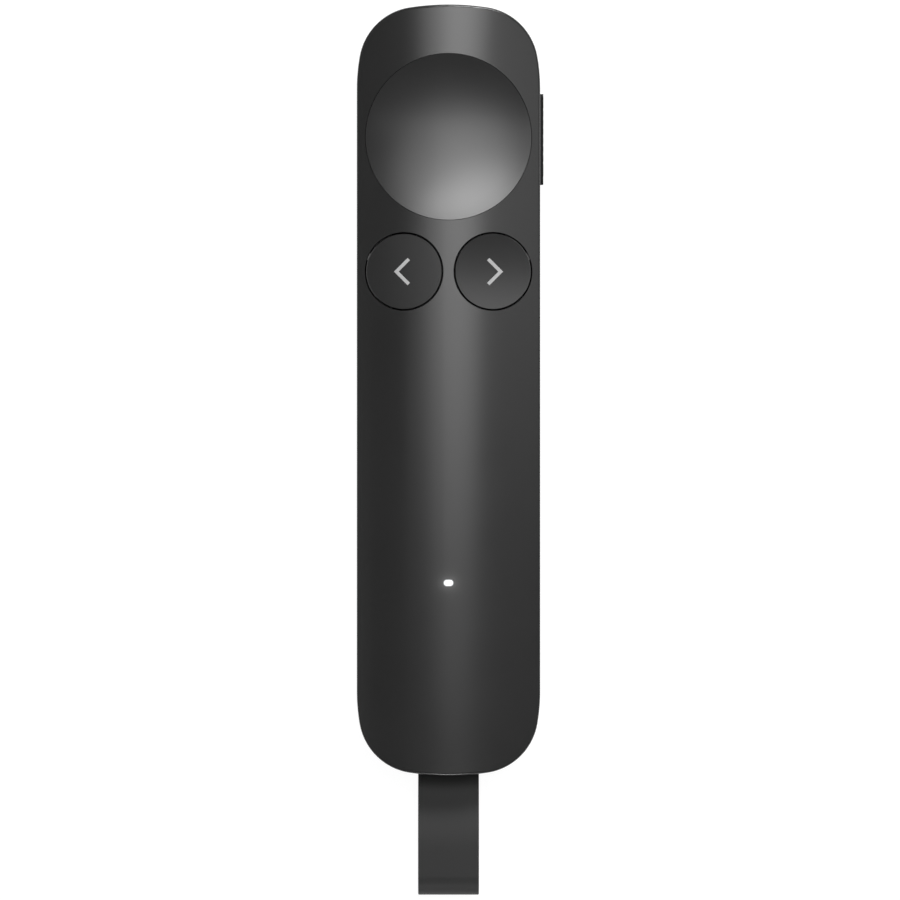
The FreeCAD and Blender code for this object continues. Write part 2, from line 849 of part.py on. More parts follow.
def slide_switch_base():
    """The body of the slide switch on the board's right edge."""
    right = knob_plate_inner() - slide_base_from_plate
    y = slide_base_length / 2
    base = block(right - slide_base_width, right, slot_y - y, slot_y + y,
                 board_top, board_top + slide_base_height)
    reach = (lever_length + slide_travel) / 2 + knob_gap
    half = lever_height / 2 + knob_gap / 2
    slot = block(right - lever_root - knob_gap, right + overrun, slot_y - reach, slot_y + reach,
                 lever_z() - half, lever_z() + half)
    return base.cut(slot)


def slide_switch_lever():
    right = knob_plate_inner() - slide_base_from_plate
    y = knob_rest_y()
    return block(right - lever_root, knob_plate_inner() - lever_tip_gap / 2,
                 y - lever_length / 2, y + lever_length / 2,
                 lever_z() - lever_height / 2, lever_z() + lever_height / 2)


def light_pipe():
    """A clear stadium rod that carries the status light from the board up to the crown."""
    low = board_top + led_height + led_gap
    rod = slot_block(light_length, light_width, 0.0, light_y, low, body_height - light_flush)
    top = crown_z(light_length / 2 + light_collar, wall) - light_collar_gap
    collar = slot_block(light_length + 2 * light_collar, light_width + 2 * light_collar, 0.0, light_y,
                        top - light_collar_height, top)
    return rod.fuse(collar).removeSplitter()


def status_led():
    return block(-led_length / 2, led_length / 2, light_y - led_width / 2, light_y + led_width / 2,
                 board_top, board_top + led_height)


def battery():
    cell = block(-battery_half_width, battery_half_width, battery_tail, battery_front,
                 battery_bottom, battery_top)
    return cell.makeFillet(battery_corner, edges_along(cell, V(0, 1, 0)))


def battery_pad():
    half = battery_half_width - pad_inset
    return block(-half, half, battery_tail + pad_inset, battery_front - pad_inset, wall, battery_bottom)


def battery_lead(x):
    """A wire from the battery's front end, round one bend and up to the board's underside."""
    z = battery_bottom + battery_height / 2
    bend_y = battery_front + lead_run
    corner = V(x, bend_y + lead_bend, z + lead_bend)
    start = V(x, battery_front, z)
    middle = V(x, bend_y + lead_bend * sin(pi / 4), z + lead_bend * (1 - cos(pi / 4)))
    run = Part.LineSegment(start, V(x, bend_y, z)).toShape()
    turn = Part.Arc(V(x, bend_y, z), middle, corner).toShape()
    rise = Part.LineSegment(corner, V(x, bend_y + lead_bend, board_bottom)).toShape()
    ring = Part.Wire(Part.Circle(start, V(0, 1, 0), lead_radius).toShape())
    return Part.Wire([run, turn, rise]).makePipeShell([ring], True, False)


def haptic_motor():
    can = post(motor_radius, 0, motor_y, wall, wall + motor_height)
    rim = can.Edges[0]
    for edge in can.Edges:
        if edge.BoundBox.ZMin > rim.BoundBox.ZMin and edge.BoundBox.ZLength < motor_hub_height:
            rim = edge
    can = can.makeFillet(motor_hub_height, [rim])
    return can.fuse(post(motor_hub_radius, 0, motor_y, wall + motor_height - overrun,
                         wall + motor_height + motor_hub_height)).removeSplitter()


def shield_y():
    return light_y + shield_from_light + shield_length / 2


def radio_shield():
    """A pressed tin lid, open at the board."""
    x, y = shield_width / 2, shield_length / 2
    can = rounded_block(-x, x, shield_y() - y, shield_y() + y, board_top, board_top + shield_height,
                        switch_corner + shield_wall)
    x, y = x - shield_wall, y - shield_wall
    inside = block(-x, x, shield_y() - y, shield_y() + y,
                   board_top - overrun, board_top + shield_height - shield_wall)
    return can.cut(inside)


def chip(x, y, size_x, size_y, height):
    return block(x - size_x / 2, x + size_x / 2, y - size_y / 2, y + size_y / 2,
                 board_top, board_top + height)


def board_chips():
    """Power chip, motion sensor, crystal and a row of small parts."""
    power_y = light_y + power_chip_from_light
    chips = [chip(0.0, power_y, power_chip_size, power_chip_size, chip_height),
             chip(0.0, keys_y + sensor_from_keys, sensor_size, sensor_size, chip_height),
             chip(-crystal_column, power_y, crystal_width, crystal_length, chip_height)]
    for i in range(passive_count):
        y = power_y + (i - (passive_count - 1) / 2) * passive_pitch
        chips.append(chip(passive_column, y, passive_length, passive_width, passive_height))
    return Part.makeCompound(chips)


def laser_front():
    return nose_y - wall - window_flange_thickness + window_seat_depth


def laser_rear():
    return laser_front() - laser_length


def laser_barrel():
    """The turned barrel, stepped down at its rear."""
    step = laser_rear() + laser_rear_length
    front = along_y(laser_radius, 0, laser_height, step, laser_front())
    rear = along_y(laser_rear_radius, 0, laser_height, laser_rear(), step)
    return front.fuse(rear).removeSplitter()


def laser_pins():
    """Leads from the laser's rear that lie on the board."""
    z = board_top + laser_pin_radius
    tips = laser_rear() - laser_pin_length
    pins = [along_y(laser_pin_radius, side * laser_pin_spread, z, tips, laser_rear()) for side in (-1, 1)]
    return Part.makeCompound(pins)


def laser_window():
    """The clear window, flush with the nose, with a flange behind the wall."""
    face = nose_y - window_flush
    lens = along_y(window_radius, 0, laser_height, laser_front(), face)
    flange = along_y(window_radius + window_flange, 0, laser_height, laser_front(),
                     laser_front() + window_flange_thickness)
    return lens.fuse(flange).removeSplitter()


def receiver_dock(outside):
    """The sleeve in the tail, stepped inside for the grip and the plug, and cut to the tail's curve."""
    sleeve = dock_block(0.0).common(outside)
    grip_x = grip_width / 2 + dock_clearance
    grip_z = grip_height / 2 + dock_clearance
    plug_x = plug_width / 2 + dock_clearance
    plug_z = plug_height / 2 + dock_clearance
    mouth = rounded_block(-grip_x, grip_x, tail_y - overrun, grip_front,
                          dock_height - grip_z, dock_height + grip_z,
                          grip_corner + dock_clearance, V(0, 1, 0))
    bore = rounded_block(-plug_x, plug_x, grip_front - overrun, dock_end,
                         dock_height - plug_z, dock_height + plug_z,
                         plug_corner + dock_clearance, V(0, 1, 0))
    port = pill_along_y(port_width + 2 * port_clearance, port_height + 2 * port_clearance, dock_height,
                        dock_end - overrun, dock_end + dock_end_wall + overrun)
    return sleeve.cut([mouth, bore, port])


def usb_c_shell():
    """The charging port's shell, let into the board's notch, with wings soldered on the board."""
    tube = pill_along_y(port_width, port_height, dock_height, port_mouth, port_rear)
    hollow = pill_along_y(port_width - 2 * port_wall, port_height - 2 * port_wall, dock_height,
                          port_mouth - overrun, port_rear - port_back)
    wings = []
    near = (port_width - port_height) / 2
    far = port_width / 2 + port_wing_width
    for side in (-1, 1):
        faces = sorted((side * near, side * far))
        wings.append(block(faces[0], faces[1], port_rear - port_wing_length, port_rear,
                           board_top, board_top + port_wing_height))
    return tube.fuse(wings).cut(hollow).removeSplitter()


def usb_c_tongue():
    half = port_tongue_width / 2
    rear = port_rear - port_back
    return block(-half, half, rear - port_tongue_reach, rear,
                 dock_height - port_tongue_height / 2, dock_height + port_tongue_height / 2)


def plug_shell():
    """The receiver's metal plug, with its latch windows."""
    x, z = plug_width / 2, plug_height / 2
    start = grip_front - plug_embed
    shell = rounded_block(-x, x, start, plug_end, dock_height - z, dock_height + z, plug_corner, V(0, 1, 0))
    x, z = x - plug_wall, z - plug_wall
    hollow = rounded_block(-x, x, start - overrun, plug_end + overrun, dock_height - z, dock_height + z,
                           plug_corner - plug_wall, V(0, 1, 0))
    cuts = [hollow]
    middle = plug_end - plug_window_from_end
    for side in (-1, 1):
        at = side * plug_window_spread / 2
        cuts.append(block(at - plug_window / 2, at + plug_window / 2,
                          middle - plug_window_length / 2, middle + plug_window_length / 2,
                          dock_height - plug_height, dock_height + plug_height))
    return shell.cut(cuts)


def plug_tongue_top():
    inside = plug_height - 2 * plug_wall
    return dock_height - inside / 2 + inside * tongue_share


def plug_tongue():
    """The plug's plastic tongue, which fills the lower part of the shell and carries the radio."""
    x = plug_width / 2 - plug_wall
    low = dock_height - plug_height / 2 + plug_wall
    start = grip_front - plug_embed
    plain = block(-x, x, start, plug_end - tongue_short, low, plug_tongue_top())
    lower = [e for e in edges_along(plain, V(0, 1, 0)) if e.BoundBox.ZMax < low + plug_wall]
    return plain.makeFillet(plug_corner - plug_wall, lower)


def plug_contacts():
    top = plug_tongue_top()
    front = plug_end - tongue_short - contact_width / 2
    strips = []
    for i in range(contact_count):
        x = (i - (contact_count - 1) / 2) * contact_pitch
        strips.append(block(x - contact_width / 2, x + contact_width / 2, front - contact_length, front,
                            top, top + contact_height))
    return Part.makeCompound(strips)


def strap_bar_y():
    return grip_end + strap_pocket_depth - strap_bar_radius - strap_thickness - 2 * strap_pocket_clearance


def strap_root_half():
    """Half height of the strap's centreline where its two layers leave the bar."""
    return strap_bar_radius + strap_bar_clearance + strap_thickness / 2


def receiver_grip():
    """The receiver's moulded end: the plug's seat at one end and the strap's pocket at the other."""
    x, z = grip_width / 2, grip_height / 2
    body = rounded_block(-x, x, grip_end, grip_front,
                         dock_height - z, dock_height + z, grip_corner, V(0, 1, 0))
    plug_x, plug_z = plug_width / 2, plug_height / 2
    seat = rounded_block(-plug_x, plug_x, grip_front - plug_embed, grip_front + overrun,
                         dock_height - plug_z, dock_height + plug_z, plug_corner, V(0, 1, 0))
    half = strap_width / 2 + strap_pocket_clearance
    tall = strap_root_half() + strap_thickness / 2 + strap_pocket_clearance
    pocket = block(-half, half, grip_end - overrun, grip_end + strap_pocket_depth,
                   dock_height - tall, dock_height + tall)
    reach = half + strap_bar_embed
    bar = along_x(strap_bar_radius, strap_bar_y(), dock_height, -reach, reach)
    return body.cut([seat, pocket, bar])


def strap_bar():
    reach = strap_width / 2 + strap_pocket_clearance + strap_bar_embed
    return along_x(strap_bar_radius, strap_bar_y(), dock_height, -reach, reach)


def loop_wire(offset):
    """The strap's closed line seen from the side, offset outwards from its middle: round the bar,
    out through the grip, an S to its full height and a half turn at the far end."""
    root = strap_root_half()
    y0 = strap_bar_y()
    y1 = y0 - strap_straight
    y2 = y1 - strap_swell
    far = tail_y - strap_reach + strap_thickness / 2 + strap_half_height
    lift = strap_half_height - root
    half_turn = atan(lift / strap_swell)
    turn = 2 * half_turn
    bend = strap_swell / 2 / sin(turn)

    def at(y, z):
        return V(0, y, dock_height + z)

    def layer(side):
        """One layer, from the bar to the far end; side is 1 for the upper one."""
        low_r, high_r = bend - offset, bend + offset
        rise = [at(y0, side * (root + offset)), at(y1, side * (root + offset))]
        centre = (y1, root + bend)
        mid = at(centre[0] - low_r * sin(half_turn), side * (centre[1] - low_r * cos(half_turn)))
        cross = at(centre[0] - low_r * sin(turn), side * (centre[1] - low_r * cos(turn)))
        centre = (y2, strap_half_height - bend)
        mid2 = at(centre[0] + high_r * sin(half_turn), side * (centre[1] + high_r * cos(half_turn)))
        top = at(y2, side * (strap_half_height + offset))
        end = at(far, side * (strap_half_height + offset))
        return [Part.LineSegment(rise[0], rise[1]).toShape(), Part.Arc(rise[1], mid, cross).toShape(),
                Part.Arc(cross, mid2, top).toShape(), Part.LineSegment(top, end).toShape()]

    near = Part.Arc(at(y0, -(root + offset)), at(y0 + root + offset, 0), at(y0, root + offset)).toShape()
    tip = Part.Arc(at(far, strap_half_height + offset), at(far - strap_half_height - offset, 0),
                   at(far, -(strap_half_height + offset))).toShape()
    return Part.Wire([near] + layer(1) + [tip] + layer(-1)[::-1])


def strap_loop():
    """The band itself, as wide as the pocket lets it be."""
    outside = Part.Face(loop_wire(strap_thickness / 2))
    inside = Part.Face(loop_wire(-strap_thickness / 2))
    band = outside.cut(inside)
    band.translate(V(-strap_width / 2, 0, 0))
    return band.extrude(V(strap_width, 0, 0))


def build():
    """Every separate piece under its own name."""
    outside = outer_body()
    inside = envelope(wall)
    nodes = {
        "bottom_cover": bottom_cover(outside, inside),
        "top_cover": top_cover(outside, inside),
        "key_frame": key_frame(),
        "frame_screws": Part.makeCompound([screw(x, y, frame_bottom, 1) for x, y in frame_screw_places()]),
        "main_board": main_board(),
        "board_screws": Part.makeCompound([screw(x, y, board_top, -1) for x, y in board_screw_places()]),
        "pointer_button": dish_cap(),
        "pointer_switch": switch_base(0.0, dish_y),
        "pointer_switch_stem": switch_stem(0.0, dish_y),
        "side_bezel": side_bezel(),
        "power_knob": power_knob(),
        "power_switch": slide_switch_base(),
        "power_switch_lever": slide_switch_lever(),
        "light_pipe": light_pipe(),
        "status_led": status_led(),
        "battery": battery(),
        "battery_pad": battery_pad(),
        "battery_leads": Part.makeCompound([battery_lead(side * lead_spread) for side in (-1, 1)]),
        "vibration_motor": haptic_motor(),
        "radio_shield": radio_shield(),
        "radio_chip": chip(0.0, shield_y(), radio_chip_size, radio_chip_size, radio_chip_height),
        "board_chips": board_chips(),
        "laser_barrel": laser_barrel(),
        "laser_pins": laser_pins(),
        "laser_window": laser_window(),
        "receiver_dock": receiver_dock(outside),
        "charging_port": usb_c_shell(),
        "charging_port_tongue": usb_c_tongue(),
        "receiver_grip": receiver_grip(),
        "receiver_plug": plug_shell(),
        "receiver_tongue": plug_tongue(),
        "receiver_contacts": plug_contacts(),
        "strap_bar": strap_bar(),
        "strap_loop": strap_loop(),
    }
    for name, side in (("back", -1), ("next", 1)):
        nodes[name + "_button"] = key_cap(side)
        nodes[name + "_switch"] = switch_base(side * key_spread, keys_y)
        nodes[name + "_switch_stem"] = switch_stem(side * key_spread, keys_y)
    return nodes


def main():
    os.makedirs("parts", exist_ok=True)
    for name, shape in sorted(build().items()):
        sound = shape.isValid() and all(s.isClosed() and s.Volume > 0 for s in shape.Solids)
        state = "sound" if sound else "NOT SOUND"
        print(f"{name}: {len(shape.Solids)} solid(s), {shape.Volume:.2f} mm3, {state}")
        shape.exportStep(os.path.join("parts", name + ".step"))


main()
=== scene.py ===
# %% [markdown]
# # A wireless presentation clicker, dressed
# The CAD model gives every solid piece its shape and place. This script gives the pieces their
# finish, and adds what a solid model leaves out: printed marks, threads on the screws and the soft
# strap. All lengths are in metres, in the frame of the CAD model: the clicker lies on its back,
# +Y is the nose, +X its right side and +Z is up.

import math

import bmesh
import bpy
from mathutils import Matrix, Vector
from mathutils.bvhtree import BVHTree


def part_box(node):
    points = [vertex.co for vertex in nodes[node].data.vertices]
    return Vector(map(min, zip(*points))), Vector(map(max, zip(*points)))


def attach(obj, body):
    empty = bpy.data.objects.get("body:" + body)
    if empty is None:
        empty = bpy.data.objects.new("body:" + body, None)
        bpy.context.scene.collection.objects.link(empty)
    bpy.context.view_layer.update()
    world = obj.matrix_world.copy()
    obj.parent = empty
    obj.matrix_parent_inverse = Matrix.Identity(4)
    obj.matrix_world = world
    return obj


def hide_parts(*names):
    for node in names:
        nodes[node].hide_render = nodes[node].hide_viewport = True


mm = 0.001
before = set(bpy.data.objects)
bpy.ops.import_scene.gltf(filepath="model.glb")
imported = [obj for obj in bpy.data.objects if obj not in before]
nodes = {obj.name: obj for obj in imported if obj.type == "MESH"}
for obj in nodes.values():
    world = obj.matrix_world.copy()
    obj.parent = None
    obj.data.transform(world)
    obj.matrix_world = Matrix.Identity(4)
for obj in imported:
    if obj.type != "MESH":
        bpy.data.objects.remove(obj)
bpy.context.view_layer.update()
print("CAD pieces:", len(nodes))

# %% [markdown]
# ## The camera
# The picture looks straight down on the buttons. The two long sides stay parallel and hardly any
# of the side walls shows, so the lens is long. An orthographic camera would also do, but it hides
# the last trace of perspective, so this is a 250 mm lens, far away. Its distance follows from how
# much of the object the picture is wide.

# %% Camera straight above
picture_width = 152.0 * mm
sharp_height = 10.5 * mm
lens = bpy.data.cameras.new("long_lens")
lens.lens = 250
lens.sensor_width = 36
lens.dof.use_dof = False
distance = picture_width * lens.lens / lens.sensor_width
camera = bpy.data.objects.new("camera", lens)
camera.location = (0.25 * mm, -10.11 * mm, sharp_height + distance)
bpy.context.scene.collection.objects.link(camera)
bpy.context.scene.camera = camera
bpy.context.scene.view_settings.view_transform = "Standard"
print("camera distance in mm:", round(distance / mm, 1))

# %% [markdown]
# ## The white ground
# The clicker lies on a seamless white ground. Lighting a floor until it is white would flood the
# dark plastic too, so the ground's own colour does it: rays from the camera, and mirrored or
# refracted ones, find a surface that already glows nearly white, with a little plain diffuse
# shading on top that keeps the clicker's faint shadow. Away from the clicker the glow rises to full
# white. Seen from underneath the ground is clear, so that the sole can be looked at.

# %% Ground plane and its material
ground_mesh = bpy.data.meshes.new("ground")
reach = 12.0
level = -0.02 * mm
near_zone, far_zone = 0.12, 0.7
near_glow = 0.95
corners = [(x * reach, y * reach, level) for x, y in ((-1, -1), (1, -1), (1, 1), (-1, 1))]
ground_mesh.from_pydata(corners, [], [(0, 1, 2, 3)])
ground = bpy.data.objects.new("ground", ground_mesh)
bpy.context.scene.collection.objects.link(ground)


def largest(tree, sockets):
    """The largest of several values, as a chain of Maximum nodes."""
    found = sockets[0]
    for socket in sockets[1:]:
        node = tree.nodes.new("ShaderNodeMath")
        node.operation = "MAXIMUM"
        tree.links.new(found, node.inputs[0])
        tree.links.new(socket, node.inputs[1])
        found = node.outputs[0]
    return found


def white_ground():
    material = bpy.data.materials.new("white_ground")
    material.use_nodes = True
    tree = material.node_tree
    tree.nodes.clear()
    add, link = tree.nodes.new, tree.links.new
    output = add("ShaderNodeOutputMaterial")
    path = add("ShaderNodeLightPath")
    seen = largest(tree, [path.outputs["Is Camera Ray"], path.outputs["Is Glossy Ray"],
                          path.outputs["Is Transmission Ray"]])
    spot = add("ShaderNodeTexCoord")
    length = add("ShaderNodeVectorMath")
    length.operation = "LENGTH"
    link(spot.outputs["Object"], length.inputs[0])
    lift = add("ShaderNodeMapRange")
    lift.inputs["From Min"].default_value = near_zone
    lift.inputs["From Max"].default_value = far_zone
    lift.inputs["To Min"].default_value = near_glow
    lift.inputs["To Max"].default_value = 1.0
    link(length.outputs["Value"], lift.inputs["Value"])
    glow = add("ShaderNodeEmission")
    link(lift.outputs["Result"], glow.inputs["Strength"])
    faint = add("ShaderNodeBsdfDiffuse")
    faint.inputs["Color"].default_value = (0.15, 0.15, 0.15, 1)
    shown = add("ShaderNodeAddShader")
    link(glow.outputs[0], shown.inputs[0])
    link(faint.outputs[0], shown.inputs[1])
    paper = add("ShaderNodeBsdfDiffuse")
    paper.inputs["Color"].default_value = (0.8, 0.8, 0.8, 1)
    by_ray = add("ShaderNodeMixShader")
    link(seen, by_ray.inputs[0])
    link(paper.outputs[0], by_ray.inputs[1])
    link(shown.outputs[0], by_ray.inputs[2])
    clear = add("ShaderNodeBsdfTransparent")
    side = add("ShaderNodeNewGeometry")
    by_side = add("ShaderNodeMixShader")
    link(side.outputs["Backfacing"], by_side.inputs[0])
    link(by_ray.outputs[0], by_side.inputs[1])
    link(clear.outputs[0], by_side.inputs[2])
    link(by_side.outputs[0], output.inputs["Surface"])
    return material


ground_mesh.materials.append(white_ground())
print("ground made, half width in m:", reach)

# %% [markdown]
# ## The room
# The shell's top mirrors the ceiling and is nearly black away from the bright band, so the studio
# was dark overhead, with walls that are a little paler and fill the shadows. Bright walls would draw
# a light line all round the shell's edge, and in the picture that line is dark in places. Rays from
# the camera find plain white, as on the ground.

# %% World
def studio_world(ceiling, wall, wall_top):
    """A world that is paler at the horizon than overhead; wall_top is the sine of the walls' height."""
    world = bpy.data.worlds.new("studio")
    world.use_nodes = True
    tree = world.node_tree
    tree.nodes.clear()
    add, link = tree.nodes.new, tree.links.new
    output = add("ShaderNodeOutputWorld")
    way = add("ShaderNodeTexCoord")
    split = add("ShaderNodeSeparateXYZ")
    link(way.outputs["Generated"], split.inputs[0])
    shade = add("ShaderNodeMapRange")
    shade.interpolation_type = "SMOOTHSTEP"
    shade.inputs["From Min"].default_value = 0.0
    shade.inputs["From Max"].default_value = wall_top
    shade.inputs["To Min"].default_value = wall
    shade.inputs["To Max"].default_value = ceiling
    link(split.outputs["Z"], shade.inputs["Value"])
    dim = add("ShaderNodeBackground")
    link(shade.outputs["Result"], dim.inputs["Strength"])
    white = add("ShaderNodeBackground")
    white.inputs["Strength"].default_value = 1.0
    path = add("ShaderNodeLightPath")
    mix = add("ShaderNodeMixShader")
    seen = largest(tree, [path.outputs["Is Camera Ray"], path.outputs["Is Transmission Ray"]])
    link(seen, mix.inputs[0])
    link(dim.outputs[0], mix.inputs[1])
    link(white.outputs[0], mix.inputs[2])
    link(mix.outputs[0], output.inputs["Surface"])
    bpy.context.scene.world = world


studio_world(ceiling=0.05, wall=0.2, wall_top=0.7)
print("world made")

# %% [markdown]
# ## The lamps
# The bright band down the crown is the mirror image of what hangs a metre above the clicker. The
# band is soft at both sides and fades toward the tail, and the dish, which bends the other way along
# the body, is brightest of all. Both follow from one large soft lamp overhead and a smaller,
# brighter one beside it, over the nose. A third soft lamp stands in front of the nose: it draws the
# bright hairline there, and the strap gets darker toward the body because the tail shades it from
# this lamp. A fourth, behind the tail, draws the hairline over the strap and lights the strap's far
# bend. Their cloth is brightest in the middle and fades out toward its edge. A long pale panel far
# to the right lifts that side, a dim one far to the left lifts the other edge, and a narrow one
# overhead lies across the body. No two of the upper ones hang at one height: a mirrored ray that
# meets two lamps at the same distance finds only one.

# %% Softboxes
soft_lamps = (
    ("overhead", (0.034, 0.252, 1.02), (0.35, 0.35), (0, 0), 4.1),
    ("over_nose", (0.115, 0.326, 1.01), (0.313, 0.148), (0, -13), 8.7),
    ("in_front", (0.31, 1.047, 0.793), (0.56, 0.32), (-54, -16.5), 20.0),
    ("behind", (0.0, -1.224, 0.571), (0.3, 0.2), (65, 0), 20.0),
)
plain_panels = (
    ("right_panel", (0.571, 0.112, 1.0), (0.608, 0.099), (0, 0), 1.32),
    ("cross_panel", (-0.042, 0.022, 0.99), (0.3, 0.03), (0, 0), 1.16),
    ("left_panel", (-1.1, -0.16, 0.98), (0.32, 0.2), (0, 0), 0.25),
)


def hang(name, shape, centre, half, angles, brightness):
    """A lamp whose face has this brightness, where 1 is a white sheet in plain light.

    It faces down, is tipped by the first angle about X, and then turned by the second about Z.
    """
    lamp = bpy.data.lights.new(name, "AREA")
    lamp.shape = shape
    lamp.size, lamp.size_y = 2 * half[0], 2 * half[1]
    area = lamp.size * lamp.size_y * (math.pi / 4 if shape == "ELLIPSE" else 1)
    lamp.energy = brightness * math.pi * area
    box = bpy.data.objects.new(name, lamp)
    box.location = centre
    box.rotation_euler = (math.radians(angles[0]), 0, math.radians(angles[1]))
    box.visible_camera = False
    bpy.context.scene.collection.objects.link(box)
    return lamp


def fade_out(lamp):
    """Lets a lamp's face fade from full brightness in its middle to nothing at its rim."""
    lamp.use_nodes = True
    tree = lamp.node_tree
    add, link = tree.nodes.new, tree.links.new
    face = add("ShaderNodeNewGeometry")
    centred = add("ShaderNodeVectorMath")
    centred.operation = "MULTIPLY_ADD"
    centred.inputs[1].default_value = (2, 2, 0)
    centred.inputs[2].default_value = (-1, -1, 0)
    link(face.outputs["Parametric"], centred.inputs[0])
    squared = add("ShaderNodeVectorMath")
    squared.operation = "DOT_PRODUCT"
    link(centred.outputs["Vector"], squared.inputs[0])
    link(centred.outputs["Vector"], squared.inputs[1])
    left = add("ShaderNodeMath")
    left.operation = "SUBTRACT"
    left.use_clamp = True
    left.inputs[0].default_value = 1.0
    link(squared.outputs["Value"], left.inputs[1])
    link(left.outputs[0], tree.nodes["Emission"].inputs["Strength"])


for name, centre, half, angles, brightness in soft_lamps:
    fade_out(hang(name, "ELLIPSE", centre, half, angles, brightness))
for name, centre, half, angles, brightness in plain_panels:
    hang(name, "RECTANGLE", centre, half, angles, brightness)
print("lamps:", [lamp[0] for lamp in soft_lamps + plain_panels])

# %% [markdown]
# ## Shared effects
# Moulded plastic has a skin of fine pits from the spark-eroded mould, and larger, very weak
# patches where it is a little more polished. Metal that was rolled or turned has fine lines in
# one direction. Both are used by many finishes, so each is a shader node group that puts out
# masks, and the shader itself stays in the material.

# %% Group for a moulded skin
def socket_in(group, name, value):
    made = group.interface.new_socket(name, in_out="INPUT", socket_type="NodeSocketFloat")
    made.default_value = value


def socket_out(group, name):
    group.interface.new_socket(name, in_out="OUTPUT", socket_type="NodeSocketFloat")


def noise_from(group, coordinates, size_socket, detail):
    """Noise whose spots are about as large as the group's input says."""
    add, link = group.nodes.new, group.links.new
    one_over = add("ShaderNodeMath")
    one_over.operation = "DIVIDE"
    one_over.inputs[0].default_value = 1.0
    link(size_socket, one_over.inputs[1])
    noise = add("ShaderNodeTexNoise")
    noise.inputs["Detail"].default_value = detail
    link(coordinates, noise.inputs["Vector"])
    link(one_over.outputs[0], noise.inputs["Scale"])
    return noise.outputs["Fac"]


def moulded_skin():
    group = bpy.data.node_groups.new("moulded_skin", "ShaderNodeTree")
    socket_in(group, "Pit Size", 0.00012)
    socket_in(group, "Patch Size", 0.014)
    socket_out(group, "Pits")
    socket_out(group, "Patches")
    start = group.nodes.new("NodeGroupInput")
    end = group.nodes.new("NodeGroupOutput")
    spot = group.nodes.new("ShaderNodeTexCoord").outputs["Object"]
    pits = noise_from(group, spot, start.outputs["Pit Size"], 2.0)
    patches = noise_from(group, spot, start.outputs["Patch Size"], 3.0)
    group.links.new(pits, end.inputs["Pits"])
    group.links.new(patches, end.inputs["Patches"])
    return group


skin_group = moulded_skin()
print("group:", skin_group.name, "inputs", [s.name for s in skin_group.interface.items_tree])

# %% Group for rolled or turned metal
def tool_lines():
    group = bpy.data.node_groups.new("tool_lines", "ShaderNodeTree")
    socket_in(group, "Line Width", 0.00006)
    socket_in(group, "Stretch X", 1.0)
    socket_in(group, "Stretch Y", 0.04)
    socket_in(group, "Stretch Z", 1.0)
    socket_out(group, "Lines")
    socket_out(group, "Smears")
    start = group.nodes.new("NodeGroupInput")
    end = group.nodes.new("NodeGroupOutput")
    spot = group.nodes.new("ShaderNodeTexCoord").outputs["Object"]
    scale = group.nodes.new("ShaderNodeCombineXYZ")
    for axis in "XYZ":
        group.links.new(start.outputs["Stretch " + axis], scale.inputs[axis])
    drawn = group.nodes.new("ShaderNodeVectorMath")
    drawn.operation = "MULTIPLY"
    group.links.new(spot, drawn.inputs[0])
    group.links.new(scale.outputs[0], drawn.inputs[1])
    lines = noise_from(group, drawn.outputs[0], start.outputs["Line Width"], 3.0)
    smears = group.nodes.new("ShaderNodeTexNoise")
    smears.inputs["Scale"].default_value = 350.0
    group.links.new(spot, smears.inputs["Vector"])
    group.links.new(lines, end.inputs["Lines"])
    group.links.new(smears.outputs["Fac"], end.inputs["Smears"])
    return group


lines_group = tool_lines()
print("group:", lines_group.name)

# %% [markdown]
# The status light is a small stadium, and two finishes need the distance to its middle line: the
# lit rod fades out toward its rim, and the cover's plastic carries a faint painted glow around it.

# %% Group for the distance to the status light
def light_distance():
    group = bpy.data.node_groups.new("light_distance", "ShaderNodeTree")
    socket_in(group, "Half Run", 0.275 * mm)
    socket_in(group, "Centre Y", -32.5 * mm)
    socket_out(group, "Distance")
    add, link = group.nodes.new, group.links.new
    start, end = add("NodeGroupInput"), add("NodeGroupOutput")
    centre, run = add("ShaderNodeCombineXYZ"), add("ShaderNodeCombineXYZ")
    link(start.outputs["Centre Y"], centre.inputs["Y"])
    link(start.outputs["Half Run"], run.inputs["X"])
    value = add("ShaderNodeTexCoord").outputs["Object"]
    for operation, second in (("SUBTRACT", centre.outputs[0]), ("MULTIPLY", (1, 1, 0)),
                              ("ABSOLUTE", None), ("SUBTRACT", run.outputs[0]),
                              ("MAXIMUM", (0, 0, 0))):
        step = add("ShaderNodeVectorMath")
        step.operation = operation
        link(value, step.inputs[0])
        if isinstance(second, tuple):
            step.inputs[1].default_value = second
        elif second:
            link(second, step.inputs[1])
        value = step.outputs["Vector"]
    length = add("ShaderNodeVectorMath")
    length.operation = "LENGTH"
    link(value, length.inputs[0])
    link(length.outputs["Value"], end.inputs["Distance"])
    return group


distance_group = light_distance()
print("group:", distance_group.name)

# %% [markdown]
# The two keys stand mirrored about the middle plane, so one distance, taken from the place with its
# left half folded over, serves the rims of both keys and of their holes.

